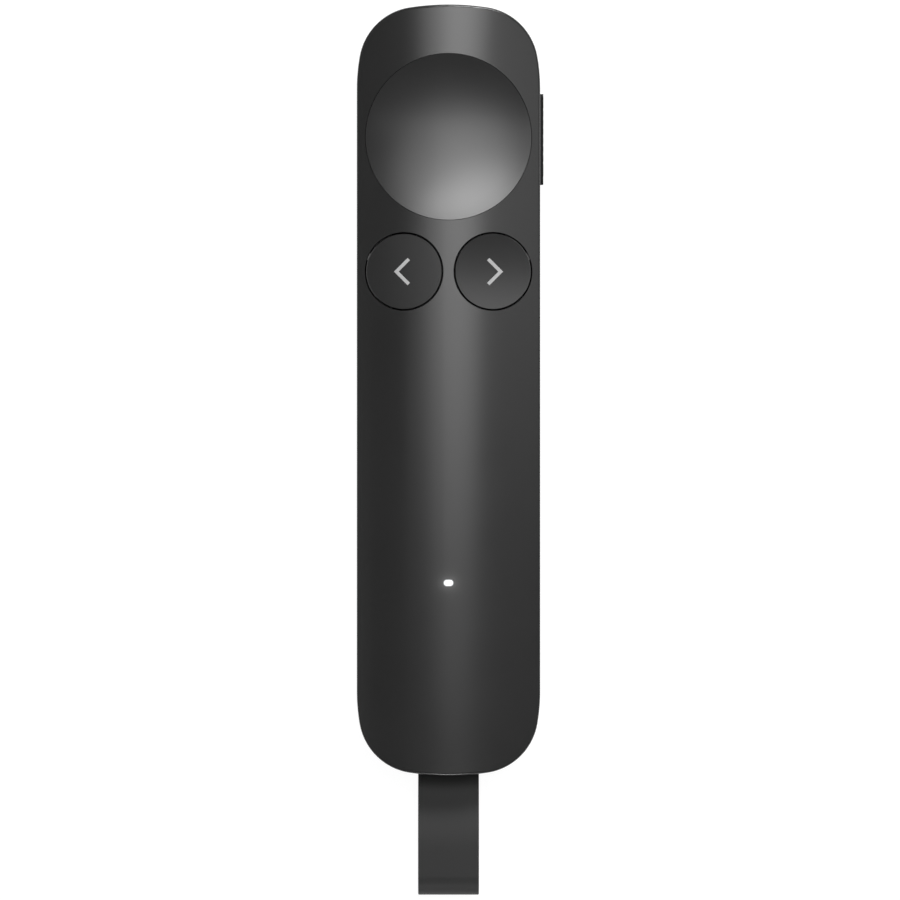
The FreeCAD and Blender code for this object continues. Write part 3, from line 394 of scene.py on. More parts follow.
# %% Group for the distance to the middle of a key
def key_distance():
    group = bpy.data.node_groups.new("key_distance", "ShaderNodeTree")
    socket_in(group, "Key X", 7.5 * mm)
    socket_in(group, "Key Y", 20.0 * mm)
    socket_out(group, "Distance")
    add, link = group.nodes.new, group.links.new
    start, end = add("NodeGroupInput"), add("NodeGroupOutput")
    split, folded = add("ShaderNodeSeparateXYZ"), add("ShaderNodeMath")
    folded.operation = "ABSOLUTE"
    place, centre = add("ShaderNodeCombineXYZ"), add("ShaderNodeCombineXYZ")
    span = add("ShaderNodeVectorMath")
    span.operation = "DISTANCE"
    link(add("ShaderNodeTexCoord").outputs["Object"], split.inputs[0])
    link(split.outputs["X"], folded.inputs[0])
    link(folded.outputs[0], place.inputs["X"])
    link(split.outputs["Y"], place.inputs["Y"])
    link(start.outputs["Key X"], centre.inputs["X"])
    link(start.outputs["Key Y"], centre.inputs["Y"])
    link(place.outputs[0], span.inputs[0])
    link(centre.outputs[0], span.inputs[1])
    link(span.outputs["Value"], end.inputs["Distance"])
    return group


keys_group = key_distance()
print("group:", keys_group.name)

# %% [markdown]
# ## Helpers for finishes
# A finish here is a Principled shader whose colour and roughness move a little between two values
# under a mask, with a Bump node for the relief. What doesn't vary is set on the shader's own
# sockets, where an export can read it.

# %% Material helpers
def new_finish(name, **constants):
    """A material with its Principled shader, whose unvarying values are set on its own sockets."""
    material = bpy.data.materials.new(name)
    material.use_nodes = True
    shader = material.node_tree.nodes["Principled BSDF"]
    for socket, value in constants.items():
        shader.inputs[socket.replace("_", " ")].default_value = value
    return material, shader


def use_group(material, group, **values):
    node = material.node_tree.nodes.new("ShaderNodeGroup")
    node.node_tree = group
    for socket, value in values.items():
        node.inputs[socket.replace("_", " ")].default_value = value
    return node


def spread(material, mask, low, high, start=0.3, stop=0.7):
    """The mask, stretched from start..stop to low..high."""
    node = material.node_tree.nodes.new("ShaderNodeMapRange")
    node.inputs["From Min"].default_value = start
    node.inputs["From Max"].default_value = stop
    node.inputs["To Min"].default_value = low
    node.inputs["To Max"].default_value = high
    material.node_tree.links.new(mask, node.inputs["Value"])
    return node.outputs["Result"]


def place_mask(material, axis, start, stop):
    """0 below start and 1 above stop, along one axis of the part's own coordinates."""
    tree = material.node_tree
    spot = tree.nodes.new("ShaderNodeTexCoord")
    split = tree.nodes.new("ShaderNodeSeparateXYZ")
    tree.links.new(spot.outputs["Object"], split.inputs[0])
    return spread(material, split.outputs[axis], 0.0, 1.0, start * mm, stop * mm)


def between(material, mask, first, second):
    """A colour between two, chosen by a mask from 0 to 1. Either may be another node's colour."""
    node = material.node_tree.nodes.new("ShaderNodeMix")
    node.data_type = "RGBA"
    material.node_tree.links.new(mask, node.inputs[0])
    for socket, colour in ((node.inputs[6], first), (node.inputs[7], second)):
        if isinstance(colour, tuple):
            socket.default_value = (*colour, 1)
        else:
            material.node_tree.links.new(colour, socket)
    return node.outputs[2]


def relief(material, shader, height, depth):
    """Bumps of this depth, in metres, on the shader's normal."""
    bump = material.node_tree.nodes.new("ShaderNodeBump")
    bump.inputs["Strength"].default_value = 1.0
    bump.inputs["Distance"].default_value = depth
    material.node_tree.links.new(height, bump.inputs["Height"])
    material.node_tree.links.new(bump.outputs["Normal"], shader.inputs["Normal"])


def grey(value, warmth=0.0):
    return (value * (1 + warmth), value, value * (1 - warmth))


dressed = []


def dress(material, *names):
    """Gives CAD nodes their finish in the slots that they came with."""
    for name in names:
        piece = nodes[name]
        if not piece.material_slots:
            piece.data.materials.append(material)
        for slot in piece.material_slots:
            slot.material = material
        dressed.append(name)


# %% [markdown]
# ## Satin shell and buttons
# The covers and the buttons are one graphite plastic, moulded with a very fine satin skin. A
# coarse grain would glitter in the bright band, and the picture's band is smooth, so the pits are
# a tenth of a millimetre across and far less than a micron deep. The narrow gap round each key is
# a black line in the picture, so the two bevels that face it are painted black: painted shade that
# stands in for the shade inside the gap.

# %% Moulded plastics
skin_pits = 0.12 * mm
top_starts, top_full = 9.5, 10.5
cap_gap_shade = (6.36, 6.42)
hole_gap_shade = (6.65, 6.6)


def moulded(name, dark, light, roughness, pit_depth, specular=0.5):
    material, shader = new_finish(name, Specular_IOR_Level=specular)
    skin = use_group(material, skin_group, Pit_Size=skin_pits)
    patches = spread(material, skin.outputs["Patches"], 0.0, 1.0)
    link = material.node_tree.links.new
    link(between(material, patches, dark, light), shader.inputs["Base Color"])
    link(spread(material, skin.outputs["Patches"], *roughness), shader.inputs["Roughness"])
    relief(material, shader, skin.outputs["Pits"], pit_depth * mm)
    return material


def on_top_only(material, mask):
    """The mask where the plastic lies high up, and 0 on the sole and inside."""
    both = material.node_tree.nodes.new("ShaderNodeMath")
    both.operation = "MULTIPLY"
    material.node_tree.links.new(mask, both.inputs[0])
    material.node_tree.links.new(place_mask(material, "Z", top_starts, top_full), both.inputs[1])
    return both.outputs[0]


def paint_glow_round_light(material, brightness, rim, fade):
    """Paints a faint glow on the plastic round the status light, less and less away from it."""
    tree = material.node_tree
    away = use_group(material, distance_group)
    value = away.outputs["Distance"]
    for operation, second in (("SUBTRACT", rim), ("DIVIDE", -fade), ("EXPONENT", None),
                              ("MINIMUM", 1.0)):
        step = tree.nodes.new("ShaderNodeMath")
        step.operation = operation
        tree.links.new(value, step.inputs[0])
        if second is not None:
            step.inputs[1].default_value = second
        value = step.outputs[0]
    shader = tree.nodes["Principled BSDF"]
    shader.inputs["Emission Strength"].default_value = brightness
    glow = between(material, on_top_only(material, value), (0, 0, 0), (1, 1, 1))
    tree.links.new(glow, shader.inputs["Emission Color"])


def shade_gap(material, start, stop):
    """Paints shade into the key gaps: dead black past a rim, from start to stop in mm from a key's
    middle.

    A black metal neither scatters nor mirrors, so the mask also drives Metallic.
    """
    tree = material.node_tree
    shader = tree.nodes["Principled BSDF"]
    near = use_group(material, keys_group)
    past = spread(material, near.outputs["Distance"], 0.0, 1.0, start * mm, stop * mm)
    shade = on_top_only(material, past)
    plain = shader.inputs["Base Color"].links[0].from_socket
    tree.links.new(between(material, shade, plain, (0.0, 0.0, 0.0)), shader.inputs["Base Color"])
    tree.links.new(shade, shader.inputs["Metallic"])


shell = moulded("graphite_shell", grey(0.0195), grey(0.021), (0.195, 0.21), 0.0002)
# painted shade: the cover's bevel round each key hole turns black
shade_gap(shell, *hole_gap_shade)
# painted light: a faint glow on the cover round the status light
paint_glow_round_light(shell, 0.06, 0.585 * mm, 0.65 * mm)
button = moulded("button_plastic", grey(0.0195), grey(0.021), (0.195, 0.21), 0.0002)
knob = moulded("knob_plastic", grey(0.034), grey(0.038), (0.45, 0.5), 0.0015)
trim = moulded("black_trim", grey(0.006), grey(0.008), (0.55, 0.6), 0.001, specular=0.15)
receiver = moulded("receiver_plastic", grey(0.012), grey(0.016), (0.4, 0.46), 0.001)
inner_frame = moulded("frame_plastic", grey(0.04), grey(0.05), (0.5, 0.58), 0.002)
switch_case = moulded("switch_case", grey(0.022), grey(0.03), (0.42, 0.5), 0.002)
switch_plunger = moulded("switch_plunger", (0.5, 0.46, 0.36), (0.58, 0.54, 0.44), (0.42, 0.5),
                         0.002)
tongue_plastic = moulded("tongue_plastic", grey(0.02), grey(0.028), (0.45, 0.52), 0.002)
key = moulded("key_plastic", grey(0.0195), grey(0.021), (0.195, 0.21), 0.0002)
# painted shade: each key's bevel next to its gap turns black
shade_gap(key, *cap_gap_shade)
dress(shell, "bottom_cover", "top_cover")
dress(button, "pointer_button")
dress(key, "back_button", "next_button")
dress(knob, "power_knob")
dress(trim, "side_bezel", "receiver_dock")
dress(receiver, "receiver_grip")
dress(inner_frame, "key_frame")
dress(switch_case, "pointer_switch", "back_switch", "next_switch", "power_switch")
dress(switch_plunger, "pointer_switch_stem", "back_switch_stem", "next_switch_stem",
      "power_switch_lever")
dress(tongue_plastic, "charging_port_tongue", "receiver_tongue")
print("dressed so far:", len(dressed))

# %% [markdown]
# ## Metals
# Plated steel, tin, brass and gold differ in colour and in how their lines run. The lines are a
# noise that is drawn out along one axis, and their mask moves the roughness much more than the
# colour, as on real sheet metal.

# %% Metal finishes
line_width = 0.06 * mm
line_depth = 0.001 * mm


def metal(name, dull, bright, roughness, stretch):
    material, shader = new_finish(name, Metallic=1.0)
    lines = use_group(material, lines_group, Line_Width=line_width, Stretch_X=stretch[0],
                      Stretch_Y=stretch[1], Stretch_Z=stretch[2])
    link = material.node_tree.links.new
    smears = spread(material, lines.outputs["Smears"], 0.0, 1.0)
    link(between(material, smears, dull, bright), shader.inputs["Base Color"])
    link(spread(material, lines.outputs["Lines"], *roughness), shader.inputs["Roughness"])
    relief(material, shader, lines.outputs["Lines"], line_depth)
    return material


screw_steel = metal("screw_steel", grey(0.5), grey(0.6), (0.25, 0.38), (1.0, 1.0, 6.0))
port_steel = metal("port_steel", grey(0.58), grey(0.66), (0.2, 0.34), (1.0, 0.05, 1.0))
motor_steel = metal("motor_can", grey(0.5), grey(0.6), (0.25, 0.36), (1.0, 1.0, 8.0))
tin = metal("shield_tin", grey(0.6, 0.02), grey(0.7, 0.02), (0.28, 0.42), (0.06, 1.0, 1.0))
brass = metal("laser_brass", (0.6, 0.43, 0.17), (0.7, 0.52, 0.24), (0.22, 0.34), (1.0, 6.0, 1.0))
lead = metal("lead_metal", grey(0.6, 0.03), grey(0.68, 0.03), (0.3, 0.42), (1.0, 0.05, 1.0))
gold = metal("contact_gold", (0.78, 0.52, 0.18), (0.9, 0.64, 0.26), (0.18, 0.3), (1.0, 0.05, 1.0))
dress(screw_steel, "frame_screws", "board_screws", "strap_bar")
dress(port_steel, "charging_port", "receiver_plug")
dress(motor_steel, "vibration_motor")
dress(tin, "radio_shield")
dress(brass, "laser_barrel")
dress(lead, "laser_pins")
dress(gold, "receiver_contacts")
print("dressed so far:", len(dressed))

# %% [markdown]
# ## Circuit board
# A board is glass fibre under green solder mask, with copper tracks that show through it as paler
# lines. Two sets of straight lines, each cut up by its own coarse noise, read as tracks without a
# drawing. The relief lifts the tracks by a few hundredths of a millimetre.

# %% Board finish
def track_mask(material, axis, pitch, gap_size, seed):
    """Straight lines across one axis, interrupted by noise."""
    tree = material.node_tree
    add, link = tree.nodes.new, tree.links.new
    spot = add("ShaderNodeTexCoord")
    bands = add("ShaderNodeTexWave")
    bands.wave_type = "BANDS"
    bands.bands_direction = axis
    bands.wave_profile = "SIN"
    bands.inputs["Scale"].default_value = 0.314 / pitch
    bands.inputs["Distortion"].default_value = 0.0
    link(spot.outputs["Object"], bands.inputs["Vector"])
    thin = spread(material, bands.outputs["Fac"], 0.0, 1.0, 0.8, 0.9)
    moved = add("ShaderNodeMapping")
    moved.inputs["Location"].default_value = (seed, seed, 0)
    link(spot.outputs["Object"], moved.inputs["Vector"])
    cells = add("ShaderNodeTexVoronoi")
    cells.distance = "CHEBYCHEV"
    cells.inputs["Scale"].default_value = 1 / gap_size
    link(moved.outputs["Vector"], cells.inputs["Vector"])
    parts = add("ShaderNodeSeparateColor")
    link(cells.outputs["Color"], parts.inputs[0])
    kept = spread(material, parts.outputs[0], 0.0, 1.0, 0.45, 0.5)
    both = add("ShaderNodeMath")
    both.operation = "MULTIPLY"
    link(thin, both.inputs[0])
    link(kept, both.inputs[1])
    return both.outputs[0]


def solder_mask():
    material, shader = new_finish("board", Coat_Roughness=0.15)
    tree = material.node_tree
    along = track_mask(material, "X", 0.0006, 0.004, 0.3)
    across = track_mask(material, "Y", 0.0008, 0.005, 0.7)
    tracks = largest(tree, [along, across])
    skin = use_group(material, skin_group, Pit_Size=0.25 * mm, Patch_Size=6 * mm)
    shade = spread(material, skin.outputs["Patches"], 0, 1)
    field = between(material, shade, (0.008, 0.05, 0.025), (0.012, 0.065, 0.032))
    tree.links.new(between(material, tracks, field, (0.03, 0.13, 0.06)), shader.inputs["Base Color"])
    tree.links.new(spread(material, tracks, 0.34, 0.24, 0.0, 1.0), shader.inputs["Roughness"])
    relief(material, shader, tracks, 0.02 * mm)
    return material


dress(solder_mask(), "main_board")
print("board dressed")

# %% [markdown]
# ## Small electronic parts
# Chips are black epoxy with a fine matte skin. The board's loose parts are one CAD node, so their
# finish changes by place: the crystal on the left is a metal can, the small row on the right is
# pale ceramic, and the rest is epoxy.

# %% Chips
def chip_finish():
    material, shader = new_finish("chip_black")
    tree = material.node_tree
    skin = use_group(material, skin_group, Pit_Size=0.09 * mm, Patch_Size=2 * mm)
    shade = spread(material, skin.outputs["Patches"], 0, 1)
    epoxy = between(material, shade, grey(0.014), grey(0.02))
    ceramic = place_mask(material, "X", 5.2, 5.4)
    can = place_mask(material, "X", -5.2, -5.4)
    body = between(material, ceramic, epoxy, (0.32, 0.24, 0.16))
    tree.links.new(between(material, can, body, grey(0.62)), shader.inputs["Base Color"])
    tree.links.new(can, shader.inputs["Metallic"])
    tree.links.new(spread(material, skin.outputs["Pits"], 0.42, 0.56), shader.inputs["Roughness"])
    relief(material, shader, skin.outputs["Pits"], 0.002 * mm)
    return material


dress(chip_finish(), "radio_chip", "board_chips")

# %% [markdown]
# ## Battery, its pad and its leads
# The battery is a foil pouch. Foil is bright but never flat, so a low, wide relief of dents lies
# over fine crinkles. The pad under it is open foam. Of the two leads the right one is red and the
# left one black.

# %% Battery finishes
def foil():
    material, shader = new_finish("battery_foil", Metallic=1.0)
    tree = material.node_tree
    skin = use_group(material, skin_group, Pit_Size=0.9 * mm, Patch_Size=5 * mm)
    dents = tree.nodes.new("ShaderNodeMath")
    dents.operation = "MULTIPLY_ADD"
    dents.inputs[1].default_value = 4.0
    tree.links.new(skin.outputs["Patches"], dents.inputs[0])
    tree.links.new(skin.outputs["Pits"], dents.inputs[2])
    shade = spread(material, skin.outputs["Pits"], 0, 1)
    tree.links.new(between(material, shade, grey(0.52), grey(0.62)), shader.inputs["Base Color"])
    tree.links.new(spread(material, skin.outputs["Pits"], 0.26, 0.4), shader.inputs["Roughness"])
    relief(material, shader, dents.outputs[0], 0.04 * mm)
    return material


def foam():
    material, shader = new_finish("foam", Sheen_Weight=0.2)
    tree = material.node_tree
    spot = tree.nodes.new("ShaderNodeTexCoord")
    cells = tree.nodes.new("ShaderNodeTexVoronoi")
    cells.inputs["Scale"].default_value = 2600.0
    tree.links.new(spot.outputs["Object"], cells.inputs["Vector"])
    depth = spread(material, cells.outputs["Distance"], 0.0, 1.0, 0.0, 0.8)
    tree.links.new(between(material, depth, grey(0.02), grey(0.07)), shader.inputs["Base Color"])
    dull = spread(material, cells.outputs["Distance"], 0.85, 0.98, 0.0, 0.8)
    tree.links.new(dull, shader.inputs["Roughness"])
    relief(material, shader, depth, 0.06 * mm)
    return material


def lead_jacket():
    material, shader = new_finish("wire_jacket")
    tree = material.node_tree
    skin = use_group(material, skin_group, Pit_Size=0.15 * mm, Patch_Size=1.5 * mm)
    shade = spread(material, skin.outputs["Patches"], 0, 1)
    red = between(material, shade, (0.3, 0.012, 0.01), (0.4, 0.02, 0.015))
    black = between(material, shade, grey(0.012), grey(0.02))
    on_right = place_mask(material, "X", -0.1, 0.1)
    tree.links.new(between(material, on_right, black, red), shader.inputs["Base Color"])
    tree.links.new(spread(material, skin.outputs["Pits"], 0.36, 0.46), shader.inputs["Roughness"])
    relief(material, shader, skin.outputs["Pits"], 0.003 * mm)
    return material


dress(foil(), "battery")
dress(foam(), "battery_pad")
dress(lead_jacket(), "battery_leads")
print("dressed so far:", len(dressed))

# %% [markdown]
# ## Clear and lit parts
# The status light is a clear rod that carries light up from the board and is lit in the picture:
# plain white, a little weaker at its rim. The rod therefore glows by itself, most at its core. The
# laser's window is polished resin.

# %% Light and window
def lit_rod():
    material, shader = new_finish("lit_rod", Roughness=0.3, Emission_Strength=0.8)
    away = use_group(material, distance_group)
    rim = spread(material, away.outputs["Distance"], 0.0, 1.0, 0.43 * mm, 0.56 * mm)
    link = material.node_tree.links.new
    link(between(material, rim, (1.0, 1.0, 1.0), (0.05, 0.05, 0.05)), shader.inputs["Emission Color"])
    link(between(material, rim, (0.34, 0.35, 0.36), (0.26, 0.27, 0.28)), shader.inputs["Base Color"])
    return material


def lit_led():
    material, shader = new_finish("lit_led", Emission_Strength=1.2)
    skin = use_group(material, skin_group, Pit_Size=0.08 * mm, Patch_Size=0.5 * mm)
    link = material.node_tree.links.new
    shade = spread(material, skin.outputs["Patches"], 0, 1)
    link(between(material, shade, (0.9, 0.82, 0.45), (0.95, 0.9, 0.6)), shader.inputs["Base Color"])
    link(between(material, shade, (0.9, 0.95, 1.0), (1.0, 1.0, 1.0)), shader.inputs["Emission Color"])
    link(spread(material, skin.outputs["Pits"], 0.25, 0.35), shader.inputs["Roughness"])
    return material


def resin_window():
    material, shader = new_finish("window_resin", Transmission_Weight=1.0, IOR=1.49)
    skin = use_group(material, skin_group, Pit_Size=0.4 * mm, Patch_Size=2 * mm)
    link = material.node_tree.links.new
    shade = spread(material, skin.outputs["Patches"], 0, 1)
    link(between(material, shade, (0.92, 0.95, 0.97), (0.97, 0.98, 1.0)), shader.inputs["Base Color"])
    link(spread(material, skin.outputs["Pits"], 0.02, 0.05), shader.inputs["Roughness"])
    return material


dress(lit_rod(), "light_pipe")
dress(lit_led(), "status_led")
dress(resin_window(), "laser_window")
print("dressed so far:", len(dressed))

# %% [markdown]
# ## Arrow marks on the two keys
# Each key carries a printed chevron. Ink is a layer of a few microns that follows the key's dish.
# A texture could draw it, but a piece of its own gives it a crisp edge at any zoom: two arms of a
# fine grid are dropped on the cap by casting rays down, and then given their thickness.

# %% Chevrons
def new_piece(name, mesh):
    piece = bpy.data.objects.new(name, mesh)
    bpy.context.scene.collection.objects.link(piece)
    return piece


def surface_of(name):
    """A tree that finds where a ray meets a CAD node."""
    mesh = nodes[name].data
    return BVHTree.FromPolygons([v.co for v in mesh.vertices],
                                [tuple(p.vertices) for p in mesh.polygons])


def dropped(tree, x, y):
    """The first point of the surface under (x, y), in metres."""
    return tree.ray_cast(Vector((x, y, 50 * mm)), Vector((0, 0, -1)))[0]


ink_over = 0.006 * mm
ink_depth = 0.03 * mm
chevron_tip = 9.2 * mm
chevron_end = 6.9 * mm
chevron_stroke = 0.56 * mm
chevron_row = 19.98 * mm


def chevron(name, node, side):
    """The mark on one key; side is -1 for the left key, whose chevron points left."""
    run = chevron_tip - chevron_end
    slant = chevron_stroke / math.sqrt(2)
    outer = ((chevron_tip, 0.0), (chevron_end, run))
    inner = ((chevron_tip - 2 * slant, 0.0), (chevron_end - slant, run - slant))
    surface = surface_of(node)
    steps, rows = 14, 3
    mesh = bmesh.new()
    for arm in (1, -1):
        grid = []
        for i in range(steps + 1):
            along = i / steps
            line = []
            for j in range(rows + 1):
                across = j / rows
                x = y = 0.0
                for (start, stop), share in ((outer, 1 - across), (inner, across)):
                    x += share * (start[0] + along * (stop[0] - start[0]))
                    y += share * (start[1] + along * (stop[1] - start[1]))
                point = dropped(surface, side * x, chevron_row + arm * y)
                line.append(mesh.verts.new(point + Vector((0, 0, ink_over))))
            grid.append(line)
        for first, second in zip(grid, grid[1:]):
            for j in range(rows):
                mesh.faces.new((first[j], first[j + 1], second[j + 1], second[j]))
    bmesh.ops.remove_doubles(mesh, verts=mesh.verts, dist=0.001 * mm)
    for face in mesh.faces:
        face.normal_update()
        if face.normal.z < 0:
            face.normal_flip()
    top = list(mesh.faces)
    made = bmesh.ops.extrude_face_region(mesh, geom=top)
    low = [v for v in made["geom"] if isinstance(v, bmesh.types.BMVert)]
    bmesh.ops.translate(mesh, verts=low, vec=(0, 0, -ink_depth))
    bmesh.ops.recalc_face_normals(mesh, faces=mesh.faces)
    data = bpy.data.meshes.new(name)
    mesh.to_mesh(data)
    mesh.free()
    return new_piece(name, data)


def ink():
    material, shader = new_finish("key_ink", Specular_IOR_Level=0.3)
    skin = use_group(material, skin_group, Pit_Size=0.1 * mm, Patch_Size=1 * mm)
    link = material.node_tree.links.new
    shade = spread(material, skin.outputs["Patches"], 0, 1)
    link(between(material, shade, grey(0.39), grey(0.43)), shader.inputs["Base Color"])
    link(spread(material, skin.outputs["Pits"], 0.5, 0.6), shader.inputs["Roughness"])
    return material


ink_finish = ink()
marks = (("back_mark", "back_button", "back", -1), ("next_mark", "next_button", "next", 1))
for name, node, body, side in marks:
    mark = chevron(name, node, side)
    mark.data.materials.append(ink_finish)
    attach(mark, body)
    print(name, "faces:", len(mark.data.polygons))

# %% [markdown]
# ## Geometry Nodes helpers
# The next pieces follow a rule: a band of one section all along a loop, and one screw at many
# places. A node tree states such a rule with named sizes. Each tree ends in Realize Instances and
# Set Material, and its result is then turned into a plain mesh.

# %% Tree and modifier helpers
def new_tree(name, sockets):
    """A Geometry Nodes tree with a geometry in, a geometry out and the named inputs."""
    tree = bpy.data.node_groups.new(name, "GeometryNodeTree")
    tree.is_modifier = True
    tree.interface.new_socket("Geometry", in_out="INPUT", socket_type="NodeSocketGeometry")
    for socket, kind in sockets.items():
        tree.interface.new_socket(socket, in_out="INPUT", socket_type="NodeSocket" + kind)
    tree.interface.new_socket("Geometry", in_out="OUTPUT", socket_type="NodeSocketGeometry")
    return tree, tree.nodes.new("NodeGroupInput").outputs, tree.nodes.new("NodeGroupOutput").inputs


def close_tree(tree, geometry, material, end):
    """Realize Instances and Set Material, the last two steps of every tree here."""
    real = tree.nodes.new("GeometryNodeRealizeInstances")
    painted = tree.nodes.new("GeometryNodeSetMaterial")
    tree.links.new(geometry, real.inputs["Geometry"])
    tree.links.new(real.outputs["Geometry"], painted.inputs["Geometry"])
    tree.links.new(material, painted.inputs["Material"])
    tree.links.new(painted.outputs["Geometry"], end["Geometry"])


def run_tree(piece, tree, values):
    """Runs a tree on a piece and keeps the result as its plain mesh."""
    modifier = piece.modifiers.new(tree.name, "NODES")
    modifier.node_group = tree
    for item in tree.interface.items_tree:
        if item.in_out == "INPUT" and item.name in values:
            modifier[item.identifier] = values[item.name]
    freeze(piece)


def freeze(piece):
    """Turns what a piece's modifiers make into its plain mesh."""
    seen = piece.evaluated_get(bpy.context.evaluated_depsgraph_get())
    made = bpy.data.meshes.new_from_object(seen)
    made.name = piece.name
    piece.modifiers.clear()
    piece.data = made


def face_outwards(piece):
    """Turns a closed mesh's faces outwards and returns its volume."""
    mesh = bmesh.new()
    mesh.from_mesh(piece.data)
    bmesh.ops.recalc_face_normals(mesh, faces=mesh.faces)
    if mesh.calc_volume(signed=True) < 0:
        bmesh.ops.reverse_faces(mesh, faces=mesh.faces)
    volume = mesh.calc_volume(signed=True)
    mesh.to_mesh(piece.data)
    mesh.free()
    return volume


# %% [markdown]
# ## The strap
# The strap is one moulded band, looped round a steel bar in the receiver. Its end turns over in a
# round fold. A flat ribbon with a Solidify modifier would have knife edges, so a small rounded
# section is swept along the loop's line instead. The line is the one that the CAD model uses:
# round the bar, straight out through the grip, an S to full height, and a half turn.

# %% Line of the loop
strap_level = 5.0 * mm
bar_y = -62.25 * mm
root_half = 1.1 * mm
swell_start = -63.85 * mm
swell_stop = -77.85 * mm
far_centre = -82.2 * mm
full_half = 2.95 * mm


def arc(centre, radius, start, stop, steps):
    """Points (y, z) on an arc, from one angle to another, in degrees."""
    found = []
    for i in range(steps + 1):
        turn = math.radians(start + (stop - start) * i / steps)
        found.append((centre[0] + radius * math.cos(turn), centre[1] + radius * math.sin(turn)))
    return found


def loop_line():
    length = swell_start - swell_stop
    turn = 2 * math.atan((full_half - root_half) / length)
    bend = length / 2 / math.sin(turn)
    slope = math.degrees(turn)
    upper = arc((swell_start, root_half + bend), bend, 270, 270 - slope, 8)
    upper += arc((swell_stop, full_half - bend), bend, 90 - slope, 90, 8)[1:]
    far = arc((far_centre, 0), full_half, 90, 270, 24)
    lower = [(y, -z) for y, z in reversed(upper)]
    near = arc((bar_y, 0), root_half, 270, 450, 14)
    return upper + far + lower + near


line = [Vector((0, y, strap_level + z)) for y, z in loop_line()]
strap_mesh = bpy.data.meshes.new("strap")
strap_mesh.from_pydata(line, [(i, (i + 1) % len(line)) for i in range(len(line))], [])
strap = new_piece("strap", strap_mesh)
line_length = sum((a - b).length for a, b in zip(line, line[1:] + line[:1]))
print("strap line in mm:", round(line_length / mm, 2))

# %% Band swept along the loop
def band_tree():
    tree, start, end = new_tree("band_along_loop", {"Width": "Float", "Thickness": "Float",
                                                    "Edge Radius": "Float", "Material": "Material"})
    add, link = tree.nodes.new, tree.links.new
    curve = add("GeometryNodeMeshToCurve")
    link(start["Geometry"], curve.inputs["Mesh"])
    level = add("GeometryNodeSetCurveNormal")
    level.mode = "FREE"
    level.inputs["Normal"].default_value = (1, 0, 0)
    link(curve.outputs["Curve"], level.inputs["Curve"])
    section = add("GeometryNodeCurvePrimitiveQuadrilateral")
    link(start["Width"], section.inputs["Width"])
    link(start["Thickness"], section.inputs["Height"])
    eased = add("GeometryNodeFilletCurve")
    eased.mode = "POLY"
    eased.inputs["Count"].default_value = 5
    link(section.outputs["Curve"], eased.inputs["Curve"])
    link(start["Edge Radius"], eased.inputs["Radius"])
    swept = add("GeometryNodeCurveToMesh")
    link(level.outputs["Curve"], swept.inputs["Curve"])
    link(eased.outputs["Curve"], swept.inputs["Profile Curve"])
    smooth = add("GeometryNodeSetShadeSmooth")
    link(swept.outputs["Mesh"], smooth.inputs["Geometry"])
    close_tree(tree, smooth.outputs["Geometry"], start["Material"], end)
    return tree


strap_finish = moulded("strap_band", grey(0.022), grey(0.0245), (0.55, 0.6), 0.0012, specular=0.28)
run_tree(strap, band_tree(), {"Width": 10.3 * mm, "Thickness": 0.9 * mm, "Edge Radius": 0.16 * mm,
                              "Material": strap_finish})
strap_volume = face_outwards(strap)
strap.modifiers.new("even_faces", "WEIGHTED_NORMAL")
freeze(strap)
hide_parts("strap_loop")
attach(strap, "receiver")
strap_corners = [[round(end([v.co[i] for v in strap.data.vertices]) / mm, 2) for i in range(3)]
                 for end in (min, max)]
print("strap box in mm:", strap_corners, "volume in mm3:", round(strap_volume / mm ** 3, 1))

# %% [markdown]
# ## Screws
# Twelve small screws hold the board and the button frame. They are one screw at twelve places, so
# it is modelled once, as rings round its axis: a cross recess in a domed head, and a thread whose
# radius depends on height and angle together, which makes it a true helix. A tree then puts one
# on each place and turns each by its own chance amount.

# %% One screw
head_height = 0.7 * mm
head_profile = ((0.8, 0.7), (1.08, 0.68), (1.25, 0.61), (1.33, 0.5), (1.35, 0.38), (1.35, 0.03),
                (1.32, 0.0))
shank_radius, shank_length = 0.7 * mm, 2.7 * mm
thread_pitch, thread_depth = 0.42 * mm, 0.14 * mm
thread_rings = 44
tip_radius = 0.45 * mm
ring_points = 40


def recess_radius(turn):
    """Plan of the cross recess: four blunt lobes."""
    return (0.26 + 0.42 * abs(math.cos(2 * turn)) ** 6) * mm


def screw_rings():
    """Rings of points from the recess's floor, over the head and down the shank to its tip."""
    turns = [2 * math.pi * i / ring_points for i in range(ring_points)]
    top = head_height
    rings = [[(0.6 * recess_radius(t), t, top - 0.42 * mm) for t in turns],
             [(recess_radius(t), t, top - 0.03 * mm) for t in turns]]
    for radius, z in head_profile:
        rings.append([(radius * mm, t, z * mm) for t in turns])
    rings.append([(shank_radius - 0.02 * mm, t, 0.0) for t in turns])
    for i in range(1, thread_rings):
        z = -0.05 * mm - (shank_length - 0.3 * mm) * i / thread_rings
        rings.append([(thread_radius(z, t), t, z) for t in turns])
    rings.append([(tip_radius, t, -shank_length) for t in turns])
    return rings


def thread_radius(z, turn):
    """The shank's radius, which falls from crest to root and back once in each pitch."""
    phase = (z / thread_pitch + turn / (2 * math.pi)) % 1.0
    return shank_radius - thread_depth * abs(2 * phase - 1)


def one_screw():
    mesh = bmesh.new()
    loops = [[mesh.verts.new((r * math.cos(t), r * math.sin(t), z)) for r, t, z in ring]
             for ring in screw_rings()]
    for first, second in zip(loops, loops[1:]):
        for i in range(ring_points):
            j = (i + 1) % ring_points
            mesh.faces.new((first[i], second[i], second[j], first[j]))
    mesh.faces.new(loops[0])
    mesh.faces.new(loops[-1])
    bmesh.ops.recalc_face_normals(mesh, faces=mesh.faces)
    data = bpy.data.meshes.new("one_screw")
    mesh.to_mesh(data)
    mesh.free()
    return new_piece("one_screw", data)


pattern_screw = one_screw()
print("faces of one screw:", len(pattern_screw.data.polygons))

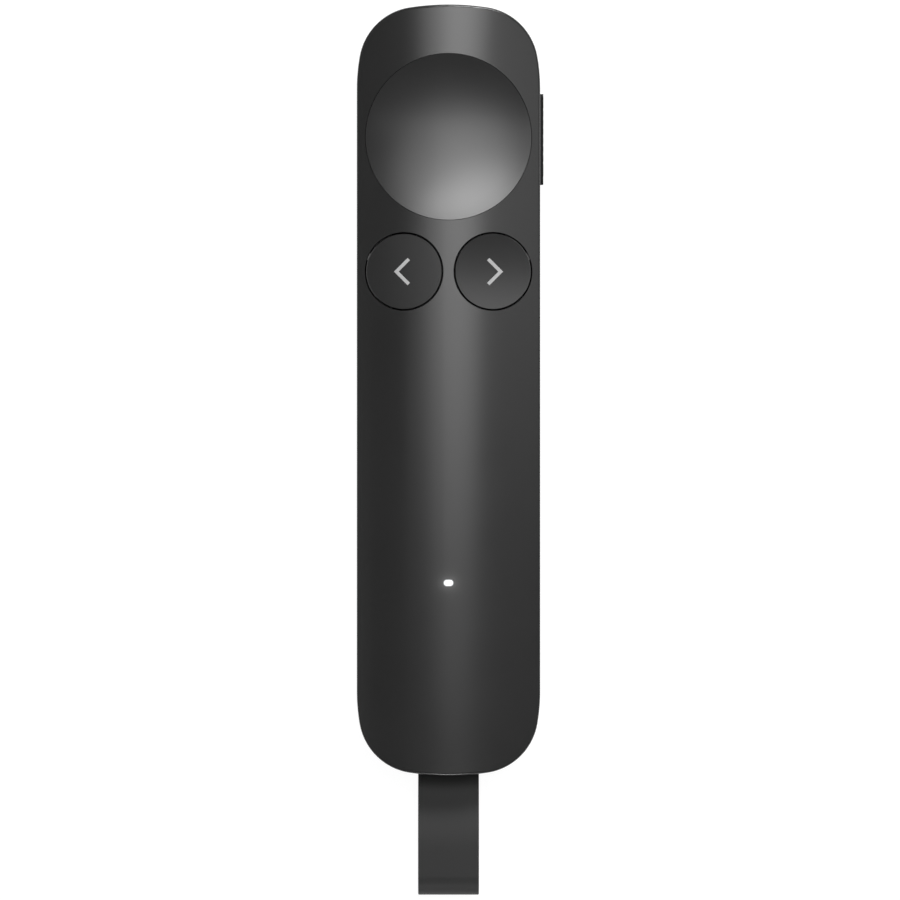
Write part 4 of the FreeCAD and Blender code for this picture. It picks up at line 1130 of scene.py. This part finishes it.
# %% Screws on their places
def screws_tree():
    tree, start, end = new_tree("screws_on_places", {"Screw": "Object", "Flip": "Float", "Seed": "Int",
                                                     "Material": "Material"})
    add, link = tree.nodes.new, tree.links.new
    screw = add("GeometryNodeObjectInfo")
    link(start["Screw"], screw.inputs["Object"])
    chance = add("FunctionNodeRandomValue")
    chance.data_type = "FLOAT"
    chance.inputs[3].default_value = 2 * math.pi
    link(start["Seed"], chance.inputs["Seed"])
    turn = add("ShaderNodeCombineXYZ")
    link(start["Flip"], turn.inputs["X"])
    link(chance.outputs[1], turn.inputs["Z"])
    placed = add("GeometryNodeInstanceOnPoints")
    link(start["Geometry"], placed.inputs["Points"])
    link(screw.outputs["Geometry"], placed.inputs["Instance"])
    link(turn.outputs["Vector"], placed.inputs["Rotation"])
    close_tree(tree, placed.outputs["Instances"], start["Material"], end)
    return tree


# name, seat's height in mm, turn about X, seed, and each row's x and y in mm
screw_sets = (("frame_screws", 7.2, math.pi, 3, ((9.5, 10.0), (11.5, 29.0), (8.0, 59.0))),
              ("board_screws", 5.4, 0.0, 8, ((10.8, -40.65), (10.8, 24.3), (8.5, 48.9))))
tree_of_screws = screws_tree()
for name, seat, flip, seed, rows in screw_sets:
    places = [(side * x * mm, y * mm, seat * mm) for x, y in rows for side in (-1, 1)]
    points = bpy.data.meshes.new(name + "_threaded")
    points.from_pydata(places, [], [])
    screws = new_piece(name + "_threaded", points)
    run_tree(screws, tree_of_screws, {"Screw": pattern_screw, "Flip": flip, "Seed": seed,
                                      "Material": screw_steel})
    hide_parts(name)
    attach(screws, "housing")
    low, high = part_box(name)
    offs = [max(abs(min(v.co[i] for v in screws.data.vertices) - low[i]),
                abs(max(v.co[i] for v in screws.data.vertices) - high[i])) for i in range(3)]
    print(name, "faces:", len(screws.data.polygons),
          "off the CAD box by mm:", [round(off / mm, 3) for off in offs])
bpy.data.objects.remove(pattern_screw)

# %% [markdown]
# ## Last checks
# Every CAD node that shows has a finish by now, and the ones without a finish are printed.

# %% Check the finishes
undressed = sorted(set(nodes) - set(dressed) - {"strap_loop"})
print("without a finish:", undressed)
